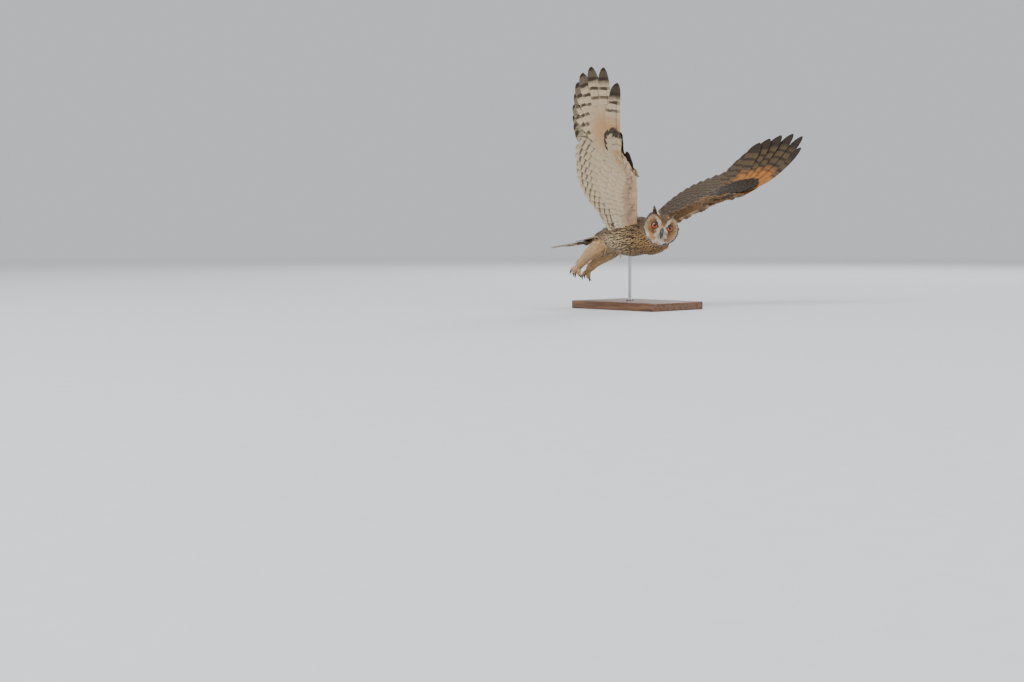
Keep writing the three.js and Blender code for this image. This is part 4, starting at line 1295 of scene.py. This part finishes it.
class OWL_OT_face(bpy.types.Operator):
    """Make the facial discs, their rims, the pale brows and the bristles round the bill"""
    bl_idname = "owl.face"
    bl_label = "Face"

    def execute(self, context):
        rng = np.random.default_rng(SEED + 7)
        feathers = []

        def put(y, z, way, length, width, tint, mark, lift):
            """Notes one feather: its place, its way on the head's own axes and its sizes in millimetres."""
            feathers.append(((y, z), way, length * MM, width * MM, tint, mark, lift * MM))

        for side in (-1, 1):
            self.disc(put, rng, side)
        for side in (-1, 1):
            self.brow(put, rng, side)
            self.bristles(put, rng, side)
        self.rims(put, rng)
        spots, *columns = zip(*feathers)
        roots, faces, kept = on_face(spots)
        way, length, width, tint, mark, lift = (np.array(column)[kept] for column in columns)
        normal, patch = skin_values(SKIN, faces, roots)
        way = way @ HEAD.T
        way = unit(way - normal * (np.sum(way * normal, 1) * 0.8)[:, None])
        tint = tint * rng.uniform(0.85, 1.12, (len(kept), 1))
        piece = small_vanes("face_feathers", roots, way, normal, length, width, lift,
                            dict(Tint=tint, Mark=mark, Rand=rng.random(len(kept))), patch,
                            thick=0.3 * MM, outline=BRISTLE)
        finish_piece(piece, coat_finish("owl_face"))
        return {"FINISHED"}

    def disc(self, put, rng, side):
        """Rings of soft feathers that spread from the eye."""
        ey, ez = EYE_AT[1] * side, EYE_AT[2]
        for radius in np.arange(8.6, 31, 1.05):
            count = int(2 * math.pi * radius / 1.02)
            for k in range(count):
                angle = 2 * math.pi * (k + rng.uniform(-0.3, 0.3)) / count
                y = ey + radius * MM * math.cos(angle) * side
                z = ez + radius * MM * math.sin(angle)
                inside = math.hypot(y / FACE_WIDE, z / FACE_HIGH)
                if inside > 0.95 or y * side < 1.0 * MM:
                    continue
                towards_bill = (ey - y) * side
                tint = blend(tone("disc"), tone("rim_pale"), 0.4 * smooth(inside, 0.55, 0.95))
                wedge = smooth(z, 0.004, 0.013) * (1 - smooth(abs(y), 0.003 + 0.3 * z, 0.007 + 0.42 * z))
                tint = blend(tint, tone("crown"), wedge)
                beside = abs(y) - brow_line((z / MM - BROW_FOOT) / BROW_RISE) * MM
                dusk = smooth(z, 0.002, 0.008) * smooth(beside, 0.001, 0.003)
                dusk = 0.75 * dusk * (1 - smooth(beside, 0.0055, 0.0105))
                tint = blend(tint, tone("streak") * 1.3, dusk)
                middle = (1 - smooth(abs(y), 0.0045, 0.0075)) * (1 - smooth(z, 0.0, 0.008))
                tint = blend(tint, tone("brow") * 0.9, middle)
                low_pale = 0.75 * smooth(-z, 0.014, 0.028) * smooth(towards_bill, -0.010, 0.006)
                tint = blend(tint, tone("brow"), low_pale)
                shadow = (1 - smooth(radius, 8.5, 13)) * (0.4 + 0.6 * smooth(towards_bill, -0.002, 0.008))
                tint = blend(tint, tone("streak"), 0.9 * shadow)
                put(y, z, (0.12, math.cos(angle) * side, math.sin(angle)), rng.uniform(8, 11), 1.35, tint,
                    0.1 + 0.5 * wedge, 0.8)

    def brow(self, put, rng, side):
        """One arm of the pale V above the bill."""
        for _ in range(360):
            t = rng.random() ** 0.85
            spread = rng.uniform(-1, 1)
            half = 1.5 + 1.6 * math.sin(math.pi * min(1, 0.15 + 0.7 * t))
            y, z = side * (brow_line(t) + spread * half) * MM, (BROW_FOOT + BROW_RISE * t) * MM
            if y * side < 0.2 * MM:
                continue
            grey = 0.45 * smooth(t, 0.45, 1.0) + 0.25 * abs(spread)
            tint = blend(tone("brow") * (0.8 + 0.2 * rng.random()), tone("crown"), grey)
            put(y, z, (0.25, side * (0.3 + 0.75 * t + 0.25 * spread), 0.9), rng.uniform(6.5, 9), 1.5, tint,
                0.1, 2.0 + 1.0 * (1 - abs(spread)))

    def bristles(self, put, rng, side):
        """The pale bristles beside the bill and on the chin, and the dark ones beside the eye."""
        for _ in range(330):
            t, turn = rng.random(), rng.uniform(0, 1)
            y, z = side * (3.6 + 2.5 * t + 4.2 * turn) * MM, (4 - 17 * t) * MM
            tint = tone("brow") * (0.7 + 0.3 * rng.random())
            put(y, z, (0.35, side * (0.15 + 0.7 * turn), -0.95 + 0.3 * turn), rng.uniform(7, 12), 1.25, tint,
                0.15, 1.4 + 1.4 * (1 - turn))
        for _ in range(90):
            y, z = side * rng.uniform(0, 8) * MM, rng.uniform(-29, -16) * MM
            put(y, z, (0.3, 0.5 * y / (8 * MM), -1), rng.uniform(7, 10), 1.5, tone("brow") * 0.9, 0.15, 1.6)
        for _ in range(70):
            angle = rng.uniform(-2.4, -0.4) + 1.4
            radius = rng.uniform(8.8, 12) * MM
            y, z = side * (EYE_AT[1] - radius * math.cos(angle)), EYE_AT[2] + radius * math.sin(angle)
            if y * side > 3 * MM and abs(y) < EYE_AT[1]:
                put(y, z, (0.3, -side * 0.5, 0.7), 7, 1.6, tone("streak"), 0, 1.2)

    def rims(self, put, rng):
        """Rows of short stiff feathers round the discs: pale, then dark."""
        for (at, length, pale, lift), side in product(RIM_ROWS, (-1, 1)):
            for angle in np.linspace(math.radians(-91), math.radians(78), 96):
                place = at + rng.uniform(-0.012, 0.012)
                out, up = math.cos(angle), math.sin(angle)
                low = smooth(-up, -0.2, 0.7)
                light = blend(tone("rim_pale"), tone("brow"), low)
                tint = blend(tone("rim_dark"), light, pale * (0.45 + 0.55 * low))
                put(side * FACE_WIDE * place * out, FACE_HIGH * place * up, (0.15, side * out, up),
                    length * rng.uniform(0.85, 1.15), 2.7, tint, 0.25, lift)


class OWL_OT_eyes(bpy.types.Operator):
    """Make the eyes and the dark lids round them"""
    bl_idname = "owl.eyes"
    bl_label = "Eyes"

    def execute(self, context):
        material, lids = eye_finish(), lid_finish()
        for name, side in SIDES.items():
            centre, look = eye_place(side)
            turn = facing(look)
            eye = primitive("uv_sphere", "eyeball_" + name, segments=48, ring_count=40, radius=EYE_RADIUS,
                            location=centre, rotation=turn)
            rel = unit(np.array([v.co for v in eye.data.vertices]) - centre)
            set_values(eye, "Iris", np.arccos(np.clip(rel @ look, -1, 1)))
            sideways = unit(np.cross([0, 0, 1], look))
            set_values(eye, "Turn", np.arctan2(rel @ np.cross(look, sideways), rel @ sideways))
            shade(eye)
            finish_piece(eye, material, ["eye_" + name])
            lid = primitive("torus", "lid_" + name, major_radius=LID_RADII[0], minor_radius=LID_RADII[1],
                            major_segments=48, minor_segments=12,
                            location=centre + look * LID_FORWARD, rotation=turn)
            upper = primitive("uv_sphere", "lid_upper", segments=40, ring_count=28,
                              radius=EYE_RADIUS + LID_THICK, location=centre)
            over = unit(HEAD @ np.array([0.12, -side * LID_SLOPE, 0.85]))
            edit_all(upper, bpy.ops.mesh.bisect, plane_co=centre + over * LID_HEIGHT, plane_no=over,
                     use_fill=True, clear_inner=True)
            shade(joined([lid, upper]))
            finish_piece(lid, lids)
        return {"FINISHED"}


class OWL_OT_bill(bpy.types.Operator):
    """Make the hooked bill with its mouth line"""
    bl_idname = "owl.bill"
    bl_label = "Bill"

    def execute(self, context):
        def curve(t):
            a, b, c, d = BILL_KNOTS
            return a * (1 - t) ** 3 + 3 * b * t * (1 - t) ** 2 + 3 * c * t * t * (1 - t) + d * t ** 3

        points, middles = horn_rings(curve, BILL_RADII, BILL_STEPS, BILL_SIDES, BILL_FLATTEN)
        along = np.repeat(np.linspace(0, 1, BILL_STEPS + 1), BILL_SIDES)
        around = np.tile(2 * math.pi * np.arange(BILL_SIDES) / BILL_SIDES, BILL_STEPS + 1)
        # The mouth line is a groove low on each side
        groove = 0.16 * np.exp(-((np.sin(around) + 0.62) / 0.14) ** 2) * smooth(1 - along, 0.12, 0.3)
        points = points + (middles - points) * groove[:, None]
        bill = make_mesh("bill_horn", from_head(points), loft_faces(BILL_STEPS + 1, BILL_SIDES))
        faces_out(bill)
        set_values(bill, "Along", along)
        apply_modifier(bill, "SUBSURF", levels=1, render_levels=1)
        shade(bill)
        finish_piece(bill, horn_finish("owl_bill", "#4b4640", "#1c1917"), ["bill"])
        return {"FINISHED"}


class OWL_OT_tufts(bpy.types.Operator):
    """Make the two ear tufts, dark with pale edges"""
    bl_idname = "owl.tufts"
    bl_label = "Ear tufts"

    def execute(self, context):
        material = coat_finish("owl_tuft")
        for name, (rise, lean) in TUFTS.items():
            side = SIDES[name]
            rise, lean = math.radians(rise), math.radians(lean)
            rng = np.random.default_rng(SEED + 11 + side)
            spot = unit(np.array([0.22, side * 0.5, 0.8]))
            hit, _, face, _ = SKIN["tree"].ray_cast(Vector(from_head(spot * 0.09)), Vector(HEAD @ -spot))
            base = np.array(hit)
            back = unit(np.array([-math.cos(rise), side * math.sin(lean), math.sin(rise)]))
            across = unit(np.cross(np.cross([0, 1, 0], back), back))
            count = TUFT_VANES
            spread = np.clip(rng.normal(0, 0.55, count), -1.1, 1.1)
            reach = np.clip(1 - np.abs(spread) * 0.42, 0.45, 1) * rng.uniform(0.8, 1.0, count)
            out = unit(back[None] + across[None] * (0.13 * spread)[:, None])
            normal = unit(np.array([1.0, 0, 0]) - out * out[:, :1])
            offset = np.stack([rng.uniform(-4, 4, count), spread * 6.5, np.full(count, -1.5)], 1)
            root = base + (offset * MM) @ HEAD.T
            inner = smooth(-spread * side, 0.55, 0.75)[:, None]
            outer = smooth(spread * side, 0.75, 1.0)[:, None] * 0.4
            tint = tone("tuft") * (1 - inner - outer) + tone("rim_pale") * inner + tone("disc") * outer
            _, patch = skin_values(SKIN, np.full(count, face), np.repeat(base[None], count, 0))
            width, lift = rng.uniform(3.4, 5.0, count) * MM, rng.uniform(-1.5, 2.5, count) * MM
            marks = dict(Tint=tint, Mark=np.full(count, 0.35), Rand=rng.random(count))
            piece = small_vanes("tuft_" + name, root, out @ HEAD.T, normal @ HEAD.T, TUFT_LENGTH * reach, width,
                                lift, marks, patch + rng.uniform(-0.004, 0.004, (count, 2)), thick=0.5 * MM)
            finish_piece(piece, material, ["ear_tuft_" + name])
        return {"FINISHED"}


class OWL_OT_claws(bpy.types.Operator):
    """Make the curved claws from the solids, smoothed"""
    bl_idname = "owl.claws"
    bl_label = "Claws"

    def execute(self, context):
        material = horn_finish("owl_claw", "#3a3430", "#15120f")
        for node in [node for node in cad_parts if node.startswith("claw_")]:
            claw = copied(node, node + "_horn")
            apply_modifier(claw, "SUBSURF", levels=2, render_levels=2)
            side = SIDES["left" if "left" in node else "right"]
            points, heel = np.array([v.co for v in claw.data.vertices]), from_body(FOOT * [1, side, 1])
            reach = np.linalg.norm(points - heel, axis=1)
            set_values(claw, "Along", (reach - reach.min()) / np.ptp(reach))
            shade(claw)
            finish_piece(claw, material, [node])
        return {"FINISHED"}


class OWL_OT_stand(bpy.types.Operator):
    """Make the wood base with eased edges and finish the steel rod"""
    bl_idname = "owl.stand"
    bl_label = "Stand"

    def execute(self, context):
        low, high = (np.array(corner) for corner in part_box("stand_base"))
        board = primitive("cube", "stand_board", size=1, location=(low + high) / 2, scale=high - low)
        apply_modifier(board, "BEVEL", width=2.2 * MM, segments=4)
        shade_by_angle(board, STAND_CREASE)
        finish_piece(board, wood_finish(), ["stand_base"])
        foot, top = (np.array(corner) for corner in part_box("stand_rod"))
        middle = (foot + top) / 2
        rod = primitive("cylinder", "stand_rod_steel", vertices=48, radius=ROD_RADIUS, depth=top[2] - foot[2],
                        location=middle)
        collar = primitive("cylinder", "collar", vertices=48, radius=COLLAR_RADIUS, depth=COLLAR_HEIGHT,
                           location=(*middle[:2], high[2] + COLLAR_HEIGHT / 2 + 0.1 * MM))
        apply_modifier(collar, "BEVEL", width=1 * MM, segments=3)
        shade_by_angle(joined([rod, collar]), STAND_CREASE)
        finish_piece(rod, steel_finish(), ["stand_rod"])
        return {"FINISHED"}


class OWL_OT_stage(bpy.types.Operator):
    """Lay the floor and set the lights and the camera"""
    bl_idname = "owl.stage"
    bl_label = "Stage"

    def execute(self, context):
        self.floor()
        world = context.scene.world or bpy.data.worlds.new("World")
        context.scene.world = world
        world.use_nodes = True
        background = world.node_tree.nodes.get("Background")
        background.inputs[0].default_value = (*BACKDROP, 1)
        background.inputs[1].default_value = BACKDROP_LIGHT
        right = np.array([math.cos(CAMERA_AZIMUTH), math.sin(CAMERA_AZIMUTH), 0])
        away = np.array([-math.sin(CAMERA_AZIMUTH), math.cos(CAMERA_AZIMUTH), 0])
        for name, sideways, depth, height, size, power in LIGHTS:
            light = bpy.data.lights.new(name, "AREA")
            light.size, light.energy = size, power
            lamp = bpy.data.objects.new(name, light)
            context.scene.collection.objects.link(lamp)
            place = right * sideways + away * depth + [0, 0, height]
            lamp.location = BODY_AT + [0, 0, 0.08] + place
            lamp.rotation_euler = Vector(-place).to_track_quat("-Z", "Y").to_euler()
        self.camera(context, right, away)
        return {"FINISHED"}

    def floor(self):
        """A wide pale floor that turns into the backdrop far out."""
        floor = primitive("circle", "floor", vertices=64, radius=FLOOR_RADIUS, fill_type="NGON",
                          location=(0, 0, -FLOOR_DROP))
        paper = Finish("floor_paper")
        distance = paper.add("ShaderNodeVectorMath", {"operation": "LENGTH"}, {0: paper.place})
        far = Value(paper, distance.outputs["Value"]).step(*FLOOR_FADE)
        near_colour = paper.mix(paper.noise(40, 3), linear("#d5d6d8"), linear("#dcdde0"))
        floor.data.materials.append(paper.done(
            paper.mix(far, near_colour, (0, 0, 0)), 0.85, Emission_Color=paper.mix(far, (0, 0, 0), BACKDROP),
            Emission_Strength=BACKDROP_LIGHT, Specular_IOR_Level=0.0))

    def camera(self, context, right, away):
        """Turns the camera so that the body stands at its own pixel of the frame."""
        focal = CAMERA_LENS / CAMERA_SENSOR * PHOTO_WIDTH
        x, y = (BODY_PIXEL[0] - PHOTO_WIDTH / 2) / focal, (PHOTO_HEIGHT / 2 - BODY_PIXEL[1]) / focal
        tilt = -math.atan(y)
        yaw = math.atan2(x, math.cos(tilt) - y * math.sin(tilt))
        ahead = away * math.cos(yaw) - right * math.sin(yaw)
        across = right * math.cos(yaw) + away * math.sin(yaw)
        view = ahead * math.cos(tilt) + np.array([0, 0, math.sin(tilt)])
        axes = np.stack([across, np.cross(across, view), -view], 1)
        camera = bpy.data.cameras.new("camera")
        camera.lens, camera.sensor_width = CAMERA_LENS, CAMERA_SENSOR
        holder = bpy.data.objects.new("camera", camera)
        context.scene.collection.objects.link(holder)
        place = Matrix.Translation(Vector(BODY_AT - away * CAMERA_DISTANCE))
        holder.matrix_world = place @ Matrix(axes.tolist()).to_4x4()
        context.scene.camera = holder


OPERATORS = [OWL_OT_skin, OWL_OT_coat, OWL_OT_wings, OWL_OT_tail, OWL_OT_face, OWL_OT_eyes, OWL_OT_bill,
             OWL_OT_tufts, OWL_OT_claws, OWL_OT_stand, OWL_OT_stage]


class OWL_PT_panel(bpy.types.Panel):
    """Steps, sizes and colours of the owl"""
    bl_label = "Long Eared Owl"
    bl_idname = "OWL_PT_panel"
    bl_space_type = "VIEW_3D"
    bl_region_type = "UI"
    bl_category = "Owl"

    def draw(self, context):
        for group in (context.scene.owl_sizes, context.scene.owl_colours):
            for key in group.__annotations__:
                self.layout.prop(group, key)
        for operator in OPERATORS:
            self.layout.operator(operator.bl_idname)


CLASSES = [OwlSizes, OwlColours, *OPERATORS, OWL_PT_panel]


def register():
    for item in CLASSES:
        bpy.utils.register_class(item)
    bpy.types.Scene.owl_sizes = bpy.props.PointerProperty(type=OwlSizes)
    bpy.types.Scene.owl_colours = bpy.props.PointerProperty(type=OwlColours)


def unregister():
    del bpy.types.Scene.owl_sizes
    del bpy.types.Scene.owl_colours
    for item in reversed(CLASSES):
        bpy.utils.unregister_class(item)


def main():
    register()
    for operator in OPERATORS:
        group, name = operator.bl_idname.split(".")
        getattr(getattr(bpy.ops, group), name)()


if __name__ == "__main__":
    main()
